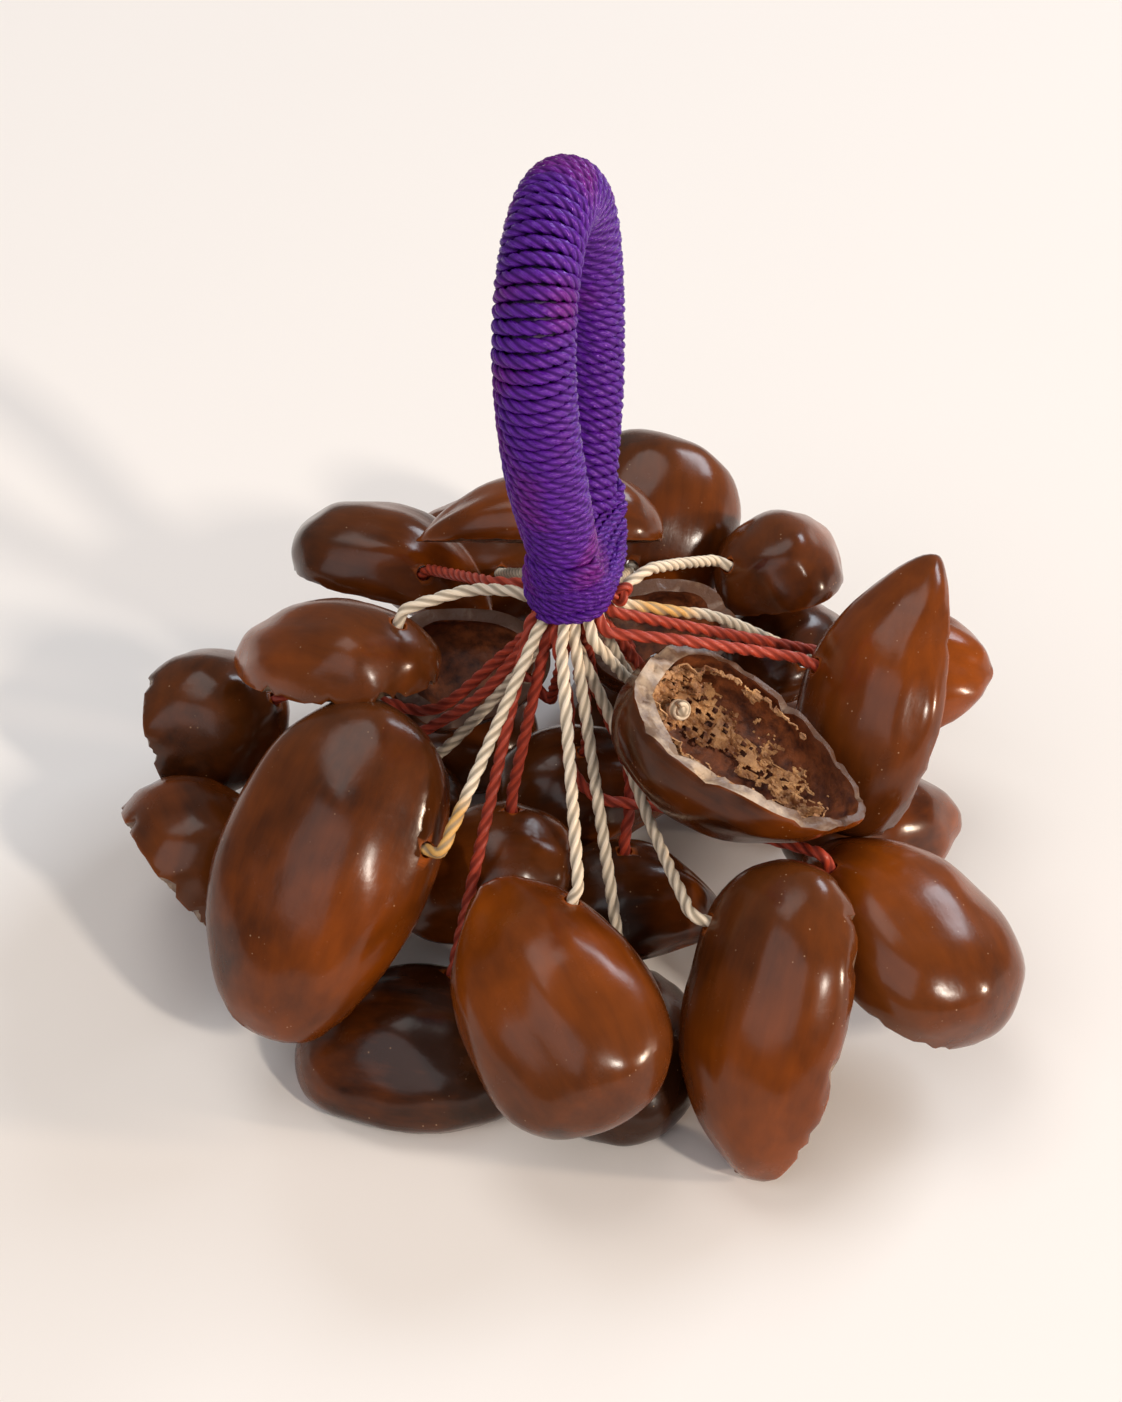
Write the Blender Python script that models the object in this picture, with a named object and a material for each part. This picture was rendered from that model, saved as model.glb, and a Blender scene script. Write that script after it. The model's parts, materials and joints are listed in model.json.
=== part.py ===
"""Seed shaker: a cord-wound loop handle over a bundle of cords, each ending in a hollow half-cut seed shell.

Units are metres, +Z is up and the shaker stands on the floor plane z = 0, on the rims and tips of its lowest
shells. The near side of the shaker faces -Y. Everything is laid out round the collar's upright axis and moved
at the end, so that the origin is under the middle of the shaker.
"""

import math
from dataclasses import dataclass

import bmesh
import bpy
from mathutils import Matrix, Vector

MM = 0.001

# Fits
CLEARANCE = 0.3 * MM            # between seated pieces
CORD_PLAY = 0.28 * MM            # between cords in the collar, and between them and its bore

# Cords
CORD_DIAMETER = 1.85 * MM       # red and cream shell cords
KNOT_RADIUS = 2.1 * MM          # knot that holds a cord in its shell
KNOT_LENGTH = 4.0 * MM
KNOT_DEPTH = 4.3 * MM           # of the knot's start below the shell's outer surface
CORD_STEP = 5.2 * MM            # spacing of the points along a cord
WINDING_CORD = 1.6 * MM         # thickness of the purple cord, and its pitch in the collar
WINDING_PITCH = 1.9 * MM        # of its turns on the loop, where it lies flatter
GROOVE_DEPTH = 0.6 * MM         # of the valley between two turns

# Handle
CORE_DIAMETER = 8.4 * MM
FOOT_DIAMETER = 6.6 * MM        # of the core inside the collar
FOOT_LENGTH = 25.0 * MM         # over which the core grows to its full diameter
LEG_LENGTH = 4.0 * MM           # of the loop's straight legs above the collar's bottom
LOOP_HEIGHT = 64.0 * MM         # of the loop's centre line above that
LOOP_SWELL = 23.0 * MM          # how far the legs swing apart
LOOP_TAPER = 1.4                # higher numbers pinch the loop's foot more
LOOP_TURN = math.radians(78.0)  # heading of the loop's plane
LOOP_LEAN = 3.4 * MM            # sideways lean of the loop's top
TUBE_RESOLUTION = 2             # of a round tube's section: eight sides
CORE_POINTS = 14                # along each half of the loop
LOOP_STEPS = 600                # of the fine centre line
RING_STEPS_PER_TURN = 2         # a crest and a groove

# Collar
COLLAR_BOTTOM = 68.0 * MM
LOOP_BOTTOM = COLLAR_BOTTOM + LEG_LENGTH        # where the loop's legs start to part
COLLAR_TURNS = 9
CORE_END_LIFT = 4.0 * MM        # the core's ends above the collar's bottom
BUNDLE_RADIUS = 4.9 * MM        # of the collar's round ends, inside, or more where the cords need it
BUNDLE_GROWTH = 0.1 * MM
COLLAR_SIDES = 16

# Shells
WALL = 2.4 * MM
SHELL_SEGMENTS = 10
SHELL_RINGS = 6
TIP_SHARPNESS = 0.62
END_ROUNDNESS = 0.40
BEAK = 0.16                     # droop of the pointed end toward the mouth, as a share of the thickness
UNDERSIDE = 0.85                # depth of the mouth side compared with the back
END_WALL = 1.3                  # thickness of the wall at the ends compared with the sides

# Cord holes
HOLE_STANDOFF = 3.0 * MM        # straight stretch of cord outside its hole
HOLE_RANGE = (-0.5, 0.35)       # how far a hole may sit toward the round end and toward the tip
HOLE_LIFT = 0.35                # least height of a hole's direction above the seed's middle
DRILL_LENGTH = 6 * WALL
DRILL_SIDES = 6
NORMAL_STEP = 0.02              # of the direction when a surface's slope is measured

# Cords under the collar
BUNDLE_ROWS = 5                 # looked at on each side of the middle of the bore
BUNDLE_COLUMNS = 3
BUNDLE_SPREAD = 0.42            # how far the cords part just under the collar, as a share of their place in it
BUNDLE_DROP = 3.0 * MM          # straight stretch under the collar
LEAST_WISH = 0.1                # how much a steep cord still pulls to its own side
LEAST_GAIN = 1e-9               # that makes two cords change places
KNOT_PROFILE = ((0.12, 0.8), (0.5, 1.0), (0.88, 0.8))   # place along the knot and girth, as shares

FLOOR = 0.0
WELD = 0.01 * MM                # ends of a tube that count as one
SMOOTH_ANGLE = math.radians(50.0)
AXIS_PLACE = Vector((1.3, -3.9, 0.0)) * MM      # of the collar's axis: the origin is the middle of the box


@dataclass(frozen=True)
class Seed:
    """One seed shell and the cord that holds it. Places and sizes in millimetres, directions of any length."""

    name: str
    place: tuple                # centre of the uncut seed
    tip: tuple                  # direction of the pointed end
    mouth: tuple                # direction that the sawn mouth faces
    size: tuple                 # length, width and thickness
    cut: float                  # depth of the mouth's plane below the centre, as a share of half the thickness
    cord: str                   # colour of its cord
    via: tuple = ()             # points that the cord passes on its way
    hole: tuple = ()            # direction of the cord's hole in the seed's own frame, else it faces the collar
    stands: bool = False        # True for a seed whose rim lies on the floor
    sharpness: float = TIP_SHARPNESS


SEEDS = (
    Seed("front_left_large", (-40, -27, 33), (-22, -40, -36), (0.3, 0.9, -1.0), (56, 35, 27), 0.30, "cream",
         hole=(-0.3, 0.9, 0.35), sharpness=0.45),
    Seed("left_pointed", (-65, -8, 19), (-0.4, 0.9, -0.1), (-0.8, -0.4, -0.5), (34, 29, 27), 0.30, "red",
         via=((-14, -2, 50), (-26, 2, 37), (-42, -3, 31))),
    Seed("left_upper", (-64, 20, 25), (0.2, 0.8, -0.4), (-1.0, 0.0, -0.25), (34, 26, 30), 0.35, "red",
         via=((-13, 5, 50), (-24, 7, 38), (-36, 13, 36))),
    Seed("left_high", (-41, 6, 49), (-1.0, 0.7, -0.3), (0.1, -0.4, -1.0), (39, 27, 21), 0.20, "cream",
         via=((-9, 1, 67), (-17, 3, 66)), hole=(-0.75, -0.1, 0.65)),
    Seed("back_left", (-32, 45, 39), (1.0, -0.3, -0.1), (0.0, -0.5, -1.0), (38, 29, 23), 0.25, "red",
         via=((-13, 8, 64),)),
    Seed("inner_left", (-18, 20, 37), (1, 0.3, 0), (-0.2, -0.6, 0.8), (30, 22, 18), 0.20, "red",
         hole=(0.6, 0.6, 0.15)),
    Seed("back_centre", (-6, 39, 53), (-1, 0.0, 0.0), (0.0, -0.6, -0.8), (43, 26, 20), 0.25, "cream"),
    Seed("back_far", (-19, 65, 26), (-1, 0.2, -0.2), (0.0, 0.3, -1.0), (38, 28, 24), 0.25, "cream",
         via=((-5, 14, 61),)),
    Seed("back_right", (13, 55, 38), (-0.2, -1, -0.8), (0.1, 0.3, -1.0), (42, 33, 26), 0.25, "cream"),
    Seed("inner_right", (15, 23, 42), (1, 0.4, 0.0), (0.2, -0.5, 0.9), (27, 21, 18), 0.20, "red",
         hole=(-0.85, 0.1, 0.4)),
    Seed("right_back", (37, 43, 41), (0.2, 1, -0.3), (0.3, 0.3, -1.0), (33, 23, 22), 0.25, "cream",
         via=((12, 10, 65),), hole=(-0.65, 0.45, 0.4)),
    Seed("right_behind", (39, 40, 26), (1, 0.8, 0.1), (0.2, 0.2, -1.0), (27, 22, 18), 0.25, "cream",
         via=((18, 9, 57), (25, 15, 51)), hole=(-0.3, -0.7, 0.5)),
    Seed("right_tall", (50, 1, 46), (12, 23, 40), (1.0, 0.2, -0.4), (48, 32, 25), 0.35, "red",
         via=((17, -5, 62),)),
    Seed("far_right", (60, 27, 30), (1, -0.1, 0.3), (0.3, 0.2, -1.0), (28, 26, 22), 0.25, "red"),
    Seed("right_under", (52, 4, 14), (1, 0.4, 0.0), (0.1, 0.1, -1.0), (34, 26, 22), 0.25, "cream",
         via=((9, 1, 50), (21, 2, 34)), hole=(-0.6, 0.3, 0.45)),
    Seed("right_front", (52, -32, 24), (-0.5, 0.9, 0.2), (-0.3, -0.3, -1.0), (44, 34, 26), 0.30, "red",
         via=((-1, -9, 51), (-1, -9, 40), (4, -10, 33), (14, -11, 32), (27, -18, 33))),
    Seed("front_right", (30, -50, 22), (-11, -31, -39), (1.0, 0.4, -0.4), (50, 31, 26), 0.35, "cream",
         via=((7, -7, 44), (12, -19, 36)), hole=(-0.5, -0.35, 0.75), sharpness=0.5),
    Seed("open_centre", (26, -19, 50), (18, -9, -9), (0.4, -0.1, 0.9), (43, 31, 27), 0.30, "cream",
         hole=(-0.7, -0.45, 0.5)),
    Seed("front_centre", (-4, -50, 27), (-10, 17, 9), (0.2, 0.3, -1.0), (44, 31, 24), 0.30, "cream"),
    Seed("front_left_low", (-26, -41, 0), (-1, 0.2, 0), (0, 0, -1.0), (40, 30, 24), 0.50, "red", stands=True,
         sharpness=0.42),
    Seed("inner_front", (-16, -15, 20), (-1, -0.1, -0.2), (0.0, 0.1, -1.0), (32, 25, 21), 0.30, "red"),
    Seed("front_low", (9, -40, 0), (0.15, 1, 0), (0, 0, -1.0), (38, 24, 22), 0.50, "cream", stands=True),
    Seed("inner_low", (11, -12, 11), (1, 0.1, 0), (0, 0, -1.0), (29, 24, 20), 0.30, "red",
         via=((3, 0, 50), (9, -5, 34))),
    Seed("inner_back", (2, 12, 16), (1, 0.2, 0.1), (0.0, 0.1, -1.0), (34, 26, 22), 0.30, "red"),
    Seed("left_low", (-38, 18, 0), (-1, 0.6, 0), (0, 0, -1.0), (40, 28, 24), 0.50, "cream", stands=True,
         via=((-11, 3, 47), (-22, 5, 31))),
    Seed("back_low_left", (-22, 46, 0), (-0.3, 1, 0), (0, 0, -1.0), (40, 28, 22), 0.50, "red", stands=True,
         via=((-3, 16, 50), (-4, 31, 34))),
    Seed("back_low_right", (14, 50, 0), (0.3, 1, 0), (0, 0, -1.0), (40, 28, 22), 0.50, "cream", stands=True,
         via=((0, 17, 49), (1, 31, 34))),
    Seed("right_low", (40, 32, 0), (1, 0.8, 0), (0, 0, -1.0), (38, 26, 22), 0.50, "red", stands=True,
         via=((12, 6, 46), (17, 11, 29), (23, 17, 19))),
)


def clear_scene():
    """Remove every object, so that a second run starts from an empty scene."""
    for item in list(bpy.data.objects):
        bpy.data.objects.remove(item, do_unlink=True)


def new_collection(name):
    """Make a collection under the scene's own."""
    collection = bpy.data.collections.new(name)
    bpy.context.scene.collection.children.link(collection)
    return collection


def new_material(name, colour, roughness, metallic=0.0):
    """Make a plain Principled material."""
    material = bpy.data.materials.new(name)
    material.use_nodes = True
    shader = material.node_tree.nodes["Principled BSDF"]
    shader.inputs["Base Color"].default_value = (*colour, 1.0)
    shader.inputs["Roughness"].default_value = roughness
    shader.inputs["Metallic"].default_value = metallic
    return material


def mesh_object(name, mesh_data, collection, material):
    """Write a bmesh into a new object with its material, shaded smooth where it is round."""
    mesh = bpy.data.meshes.new(name)
    mesh_data.to_mesh(mesh)
    mesh_data.free()
    mesh.materials.append(material)
    mesh.shade_smooth()
    mesh.set_sharp_from_angle(angle=SMOOTH_ANGLE)
    item = bpy.data.objects.new(name, mesh)
    collection.objects.link(item)
    return item


def tube(name, points, radius, factors, collection, material):
    """Make a round tube with filled caps along the points. Each point's radius is scaled by its factor."""
    curve = bpy.data.curves.new(name, "CURVE")
    curve.dimensions = "3D"
    curve.bevel_depth = radius
    curve.bevel_resolution = TUBE_RESOLUTION
    curve.use_fill_caps = True
    spline = curve.splines.new("POLY")
    spline.points.add(len(points) - 1)
    for control, point, factor in zip(spline.points, points, factors):
        control.co = (*point, 1.0)
        control.radius = factor
    curve.materials.append(material)
    item = bpy.data.objects.new(name, curve)
    collection.objects.link(item)
    return item


def tube_mesh(name, points, radius, factors, collection, material):
    """Make a tube as a mesh with welded caps, so that a Boolean can cut it or cut with it."""
    guide = tube(name + "_guide", points, radius, factors, collection, material)
    bpy.context.view_layer.update()
    evaluated = guide.evaluated_get(bpy.context.evaluated_depsgraph_get())
    mesh = bpy.data.meshes.new_from_object(evaluated)
    mesh_data = bmesh.new()
    mesh_data.from_mesh(mesh)
    bmesh.ops.remove_doubles(mesh_data, verts=mesh_data.verts, dist=WELD)
    bmesh.ops.recalc_face_normals(mesh_data, faces=mesh_data.faces)
    bpy.data.objects.remove(guide, do_unlink=True)
    return mesh_object(name, mesh_data, collection, material)


def hide_cutter(cutter):
    """Mark an object as a cutter, which is never rendered."""
    cutter.hide_render = True
    cutter.display_type = "WIRE"


def cut_with(item, cutter):
    """Cut one object out of another with a Boolean."""
    hide_cutter(cutter)
    boolean = item.modifiers.new("cut_" + cutter.name, "BOOLEAN")
    boolean.operation = "DIFFERENCE"
    boolean.solver = "EXACT"
    boolean.object = cutter


def smooth_route(route, step):
    """Points at about the given step along a smooth curve through the route's points."""
    padded = [2 * route[0] - route[1], *route, 2 * route[-1] - route[-2]]
    points = [route[0].copy()]
    for a, b, c, d in zip(padded, padded[1:], padded[2:], padded[3:]):
        count = max(1, round((c - b).length / step))
        for index in range(1, count + 1):
            t = index / count
            bend = (c - a) * t + (2 * a - 5 * b + 4 * c - d) * t**2 + (3 * b - a - 3 * c + d) * t**3
            points.append(b + 0.5 * bend)
    return points


def loop_point(t):
    """Point of the handle's centre line: t runs from 0 at the near foot over the top to 2 pi at the far foot."""
    half_gap = (FOOT_DIAMETER + CLEARANCE) / 2
    foot = half_gap * math.cos(t / 2) * abs(math.cos(t / 2))
    side = foot + LOOP_SWELL * math.sin(t) * abs(math.sin(t / 2)) ** LOOP_TAPER
    rise = (1 - math.cos(t)) / 2
    along = Vector((math.cos(LOOP_TURN), math.sin(LOOP_TURN), 0.0))
    lean = Vector((-LOOP_LEAN * rise, 0.0, 0.0))
    return lean - along * side + Vector((0.0, 0.0, LOOP_BOTTOM + LOOP_HEIGHT * rise))


def even_points(points, step):
    """Points at even spacing, close to the given step, along a fine run of points."""
    lengths = [0.0]
    for a, b in zip(points, points[1:]):
        lengths.append(lengths[-1] + (b - a).length)
    count = max(1, round(lengths[-1] / step))
    result = []
    index = 0
    for number in range(count + 1):
        target = lengths[-1] * number / count
        while index < len(lengths) - 2 and lengths[index + 1] < target:
            index += 1
        share = (target - lengths[index]) / (lengths[index + 1] - lengths[index])
        result.append(points[index].lerp(points[index + 1], share))
    return result


def collar_top():
    """Height of the collar's top."""
    return COLLAR_BOTTOM + COLLAR_TURNS * WINDING_CORD


def fine_loop():
    """The loop's centre line in fine steps, from foot to foot."""
    return [loop_point(2 * math.pi * index / LOOP_STEPS) for index in range(LOOP_STEPS + 1)]


def core_width(height):
    """Diameter of the handle's core at a height: it is squeezed in the collar."""
    share = max(0.0, min(1.0, (height - LOOP_BOTTOM) / FOOT_LENGTH))
    return FOOT_DIAMETER + (CORE_DIAMETER - FOOT_DIAMETER) * share


def core_points():
    """Centre line of the core, from its near end in the collar over the loop to its far end."""
    loop = even_points(fine_loop(), LOOP_HEIGHT / CORE_POINTS)
    end = COLLAR_BOTTOM + CORE_END_LIFT
    near = Vector((loop[0].x, loop[0].y, end))
    far = Vector((loop[-1].x, loop[-1].y, end))
    lift = Vector((0.0, 0.0, WINDING_CORD))
    body = [point for point in loop if point.z > end + 2 * WINDING_CORD]
    return [near, near + lift, *body, far + lift, far]


def build_core(collection, material):
    """The rope bent into the handle's loop, with both ends inside the collar."""
    points = core_points()
    factors = [core_width(point.z) / CORE_DIAMETER for point in points]
    tube("handle_core", points, CORE_DIAMETER / 2, factors, collection, material)


def build_handle_winding(collection, cutters, material):
    """The cord wound round the loop, one ridge to a turn, from the collar's top on one leg to the other."""
    crest = CORE_DIAMETER / 2 + CLEARANCE + WINDING_CORD
    above = [point for point in fine_loop() if point.z > collar_top()]
    slope = (above[1] - above[0]).normalized()
    start = collar_top() + CLEARANCE + crest * math.hypot(slope.x, slope.y)
    wound = [point for point in above if point.z > start]
    points = even_points(wound, WINDING_PITCH / RING_STEPS_PER_TURN)
    factors = []
    for index, point in enumerate(points):
        outer = core_width(point.z) / 2 + CLEARANCE + WINDING_CORD
        if index % RING_STEPS_PER_TURN == 0:
            outer -= GROOVE_DEPTH
        factors.append(outer / crest)
    winding = tube_mesh("handle_winding", points, crest, factors, collection, material)
    bore_points = core_points()
    widths = []
    for point in bore_points:
        play = CLEARANCE if point.z > collar_top() else 0.0
        widths.append((core_width(point.z) + 2 * play) / CORE_DIAMETER)
    cut_with(winding, tube_mesh("handle_bore", bore_points, CORE_DIAMETER / 2, widths, cutters, material))


def stadium(radius, half_gap, height):
    """Ring of points round both legs at one height: two half circles joined by straight sides."""
    ring = []
    for index in range(COLLAR_SIDES):
        angle = 2 * math.pi * (index + 0.5) / COLLAR_SIDES
        side = math.copysign(half_gap, math.sin(angle))
        local = Vector((radius * math.cos(angle), side + radius * math.sin(angle), 0.0))
        turned = Matrix.Rotation(LOOP_TURN - math.pi / 2, 3, "Z") @ local
        ring.append(Vector((turned.x, turned.y, height)))
    return ring


def leg_offset(height):
    """Distance of the legs' centre lines from the collar's axis at a height."""
    if height <= LOOP_BOTTOM:
        return (FOOT_DIAMETER + CLEARANCE) / 2
    t = math.acos(1 - 2 * (height - LOOP_BOTTOM) / LOOP_HEIGHT)
    point = loop_point(t)
    rise = (1 - math.cos(t)) / 2
    return math.hypot(point.x + LOOP_LEAN * rise, point.y)


def build_collar(collection, material):
    """The cord wound round both feet of the loop and the tops of the shell cords."""
    bore = bundle_radius()
    rings = []
    for step in range(2 * COLLAR_TURNS + 1):
        height = COLLAR_BOTTOM + step * WINDING_CORD / 2
        thickness = WINDING_CORD if step % 2 else WINDING_CORD - GROOVE_DEPTH
        rings.append(stadium(bore + thickness, leg_offset(height), height))
    for step in range(COLLAR_TURNS, -1, -1):
        height = COLLAR_BOTTOM + step * WINDING_CORD
        rings.append(stadium(bore, leg_offset(height), height))
    mesh_data = bmesh.new()
    rows = [[mesh_data.verts.new(point) for point in ring] for ring in rings]
    for row, following in zip(rows, rows[1:] + rows[:1]):
        for index in range(COLLAR_SIDES):
            after = (index + 1) % COLLAR_SIDES
            mesh_data.faces.new((row[index], row[after], following[after], following[index]))
    bmesh.ops.recalc_face_normals(mesh_data, faces=mesh_data.faces)
    mesh_object("collar_winding", mesh_data, collection, material)


def seed_frame(seed):
    """Matrix that places a seed: its X axis runs to the tip and its -Z axis out of the mouth."""
    tip = Vector(seed.tip).normalized()
    mouth = Vector(seed.mouth)
    back = -(mouth - tip * mouth.dot(tip)).normalized()
    side = back.cross(tip)
    frame = Matrix((tip, side, back)).transposed().to_4x4()
    frame.translation = Vector(seed.place) * MM
    if seed.stands:
        frame.translation.z = FLOOR + seed.cut * seed.size[2] * MM / 2
    return frame


def seed_surface(seed, direction, inset):
    """Point of a seed's surface, inset by a distance, in the direction of a point of the unit sphere.

    The seed is round at one end and pointed at the other, and flatter on its mouth side.
    """
    length, width, thickness = (value * MM for value in seed.size)
    along = max(-1.0, min(1.0, direction.x))
    ring = math.hypot(direction.y, direction.z)
    sharp = seed.sharpness
    widest = (END_ROUNDNESS - sharp) / (END_ROUNDNESS + sharp)
    full = (1 - widest) ** sharp * (1 + widest) ** END_ROUNDNESS
    girth = (1 - along) ** sharp * (1 + along) ** END_ROUNDNESS / full
    across = direction.y / ring if ring else 0.0
    up = direction.z / ring if ring else 0.0
    depth = thickness / 2 - inset
    if up < 0:
        depth *= UNDERSIDE
    droop = BEAK * thickness * max(0.0, along) ** 2
    return Vector((
        (length / 2 - inset * END_WALL) * along,
        (width / 2 - inset) * girth * across,
        depth * girth * up - droop,
    ))


def seed_half(seed, inset):
    """Open surface of a seed, cut off at the mouth's plane."""
    mesh_data = bmesh.new()
    bmesh.ops.create_uvsphere(mesh_data, u_segments=SHELL_SEGMENTS, v_segments=SHELL_RINGS, radius=1.0)
    for vertex in mesh_data.verts:
        direction = Vector((vertex.co.z, vertex.co.x, vertex.co.y))
        vertex.co = seed_surface(seed, direction, inset)
    level = -seed.cut * seed.size[2] * MM / 2
    parts = mesh_data.verts[:] + mesh_data.edges[:] + mesh_data.faces[:]
    bmesh.ops.bisect_plane(mesh_data, geom=parts, plane_co=(0, 0, level), plane_no=(0, 0, -1), clear_outer=True)
    return mesh_data


def collar_exit():
    """Middle of the bundle where it leaves the collar."""
    return Vector((0.0, 0.0, COLLAR_BOTTOM))


def hole_of(seed):
    """Centre and outward direction of a shell's cord hole, on the side that faces the collar."""
    frame = seed_frame(seed)
    toward = frame.inverted() @ collar_exit()
    toward.normalize()
    least, most = HOLE_RANGE
    direction = Vector((max(least, min(most, toward.x)), toward.y, max(HOLE_LIFT, toward.z)))
    if seed.hole:
        direction = Vector(seed.hole)
    direction.normalize()
    middle = seed_surface(seed, direction, 0.0)
    one = seed_surface(seed, (direction + Vector((NORMAL_STEP, 0, 0))).normalized(), 0.0) - middle
    other = Vector((0, -direction.z, direction.y)).normalized() * NORMAL_STEP
    two = seed_surface(seed, (direction + other).normalized(), 0.0) - middle
    normal = one.cross(two).normalized()
    if normal.dot(direction) < 0:
        normal.negate()
    return frame @ middle, (frame.to_3x3() @ normal).normalized()


def build_shell(seed, collection, cutters, material):
    """A hollow seed shell with a flat sawn rim and a hole for its cord."""
    outer = seed_half(seed, 0.0)
    inner = seed_half(seed, WALL)
    bmesh.ops.reverse_faces(inner, faces=inner.faces)
    inner_mesh = bpy.data.meshes.new("inner")
    inner.to_mesh(inner_mesh)
    inner.free()
    outer.from_mesh(inner_mesh)
    bpy.data.meshes.remove(inner_mesh)
    rim = [edge for edge in outer.edges if edge.is_boundary]
    bmesh.ops.bridge_loops(outer, edges=rim)
    bmesh.ops.recalc_face_normals(outer, faces=outer.faces)
    outer.transform(seed_frame(seed))
    shell = mesh_object("shell_" + seed.name, outer, collection, material)
    centre, outward = hole_of(seed)
    radius = CORD_DIAMETER / 2 + CLEARANCE
    drill = bmesh.new()
    bmesh.ops.create_cone(drill, cap_ends=True, segments=DRILL_SIDES, radius1=radius, radius2=radius,
                          depth=DRILL_LENGTH)
    placing = outward.to_track_quat("Z", "Y").to_matrix().to_4x4()
    placing.translation = centre
    drill.transform(placing)
    cut_with(shell, mesh_object("drill_" + seed.name, drill, cutters, material))


def bundle_slots(radius):
    """Places for cords in a bore with round ends of this radius: a close packing between its walls."""
    pitch = CORD_DIAMETER + CORD_PLAY
    straight = leg_offset(COLLAR_BOTTOM)
    room = radius - CORD_PLAY - CORD_DIAMETER / 2
    slots = []
    for row in range(-BUNDLE_ROWS, BUNDLE_ROWS + 1):
        along = row * pitch * math.sqrt(0.75)
        past = max(0.0, abs(along) - straight)
        for column in range(-BUNDLE_COLUMNS, BUNDLE_COLUMNS + 1):
            across = (column + 0.5 * (row % 2)) * pitch
            if math.hypot(across, past) <= room:
                turned = Matrix.Rotation(LOOP_TURN - math.pi / 2, 3, "Z") @ Vector((across, along, 0.0))
                slots.append(turned)
    return slots


def bundle_radius():
    """Radius of the bore's round ends: the least one that has a place for every cord."""
    radius = BUNDLE_RADIUS
    while len(bundle_slots(radius)) < len(SEEDS):
        radius += BUNDLE_GROWTH
    return radius


def share_slots():
    """Give each seed a slot of the bundle, so that flat cords lie outside, steep ones inside and none cross."""
    wishes = []
    for seed in SEEDS:
        centre, outward = hole_of(seed)
        first = Vector(seed.via[0]) * MM if seed.via else centre + outward * HOLE_STANDOFF
        start = first - collar_exit()
        flat = Vector((start.x, start.y, 0.0)).normalized()
        wishes.append(flat * max(LEAST_WISH, 1.0 + start.z / start.length))
    given = bundle_slots(bundle_radius())[:len(SEEDS)]
    swapped = True
    while swapped:
        swapped = False
        for one in range(len(SEEDS)):
            for other in range(one):
                gain = (given[one] - given[other]).dot(wishes[other] - wishes[one])
                if gain > LEAST_GAIN:
                    given[one], given[other] = given[other], given[one]
                    swapped = True
    return {seed.name: slot for seed, slot in zip(SEEDS, given)}


def build_cord(seed, slot, collection, material):
    """A cord from the collar through its shell's hole to the knot inside."""
    centre, outward = hole_of(seed)
    top = Vector((slot.x, slot.y, COLLAR_BOTTOM + CORE_END_LIFT - CLEARANCE))
    mouth = Vector((slot.x, slot.y, COLLAR_BOTTOM))
    gate = centre + outward * HOLE_STANDOFF
    spread = mouth + Vector((slot.x, slot.y, 0.0)) * BUNDLE_SPREAD - Vector((0.0, 0.0, BUNDLE_DROP))
    route = [mouth, spread, *[Vector(point) * MM for point in seed.via], gate, centre]
    smooth = smooth_route(route, CORD_STEP)
    knot_start = centre - outward * KNOT_DEPTH
    points = [top, *smooth, knot_start]
    factors = [1.0] * len(points)
    for share, girth in (*KNOT_PROFILE, (1.0, CORD_DIAMETER / (4 * KNOT_RADIUS))):
        points.append(knot_start - outward * KNOT_LENGTH * share)
        factors.append(girth * 2 * KNOT_RADIUS / CORD_DIAMETER)
    tube("cord_" + seed.name, points, CORD_DIAMETER / 2, factors, collection, material)


def main():
    """Build the seed shaker."""
    clear_scene()
    collection = new_collection("seed_shaker")
    cutters = new_collection("cutters")
    purple = new_material("purple_cord", (0.09, 0.01, 0.30), 0.35)
    rope = new_material("core_rope", (0.60, 0.50, 0.36), 0.80)
    brown = new_material("polished_shell", (0.17, 0.05, 0.015), 0.18)
    colours = {
        "red": new_material("red_cord", (0.30, 0.03, 0.02), 0.60),
        "cream": new_material("cream_cord", (0.75, 0.62, 0.42), 0.60),
    }
    build_core(collection, rope)
    build_handle_winding(collection, cutters, purple)
    build_collar(collection, purple)
    slots = share_slots()
    for seed in SEEDS:
        build_shell(seed, collection, cutters, brown)
        build_cord(seed, slots[seed.name], collection, colours[seed.cord])
    for item in (*collection.objects, *cutters.objects):
        item.location = AXIS_PLACE


if __name__ == "__main__":
    main()
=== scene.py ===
"""Looks of the seed shaker: polished half-cut shells on twisted cords under a cord-wound loop handle."""

from __future__ import annotations

import json
import logging
import math
from dataclasses import dataclass, field
from enum import Enum

import bmesh
import bpy
import numpy as np
from mathutils import Matrix, Vector, noise

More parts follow.
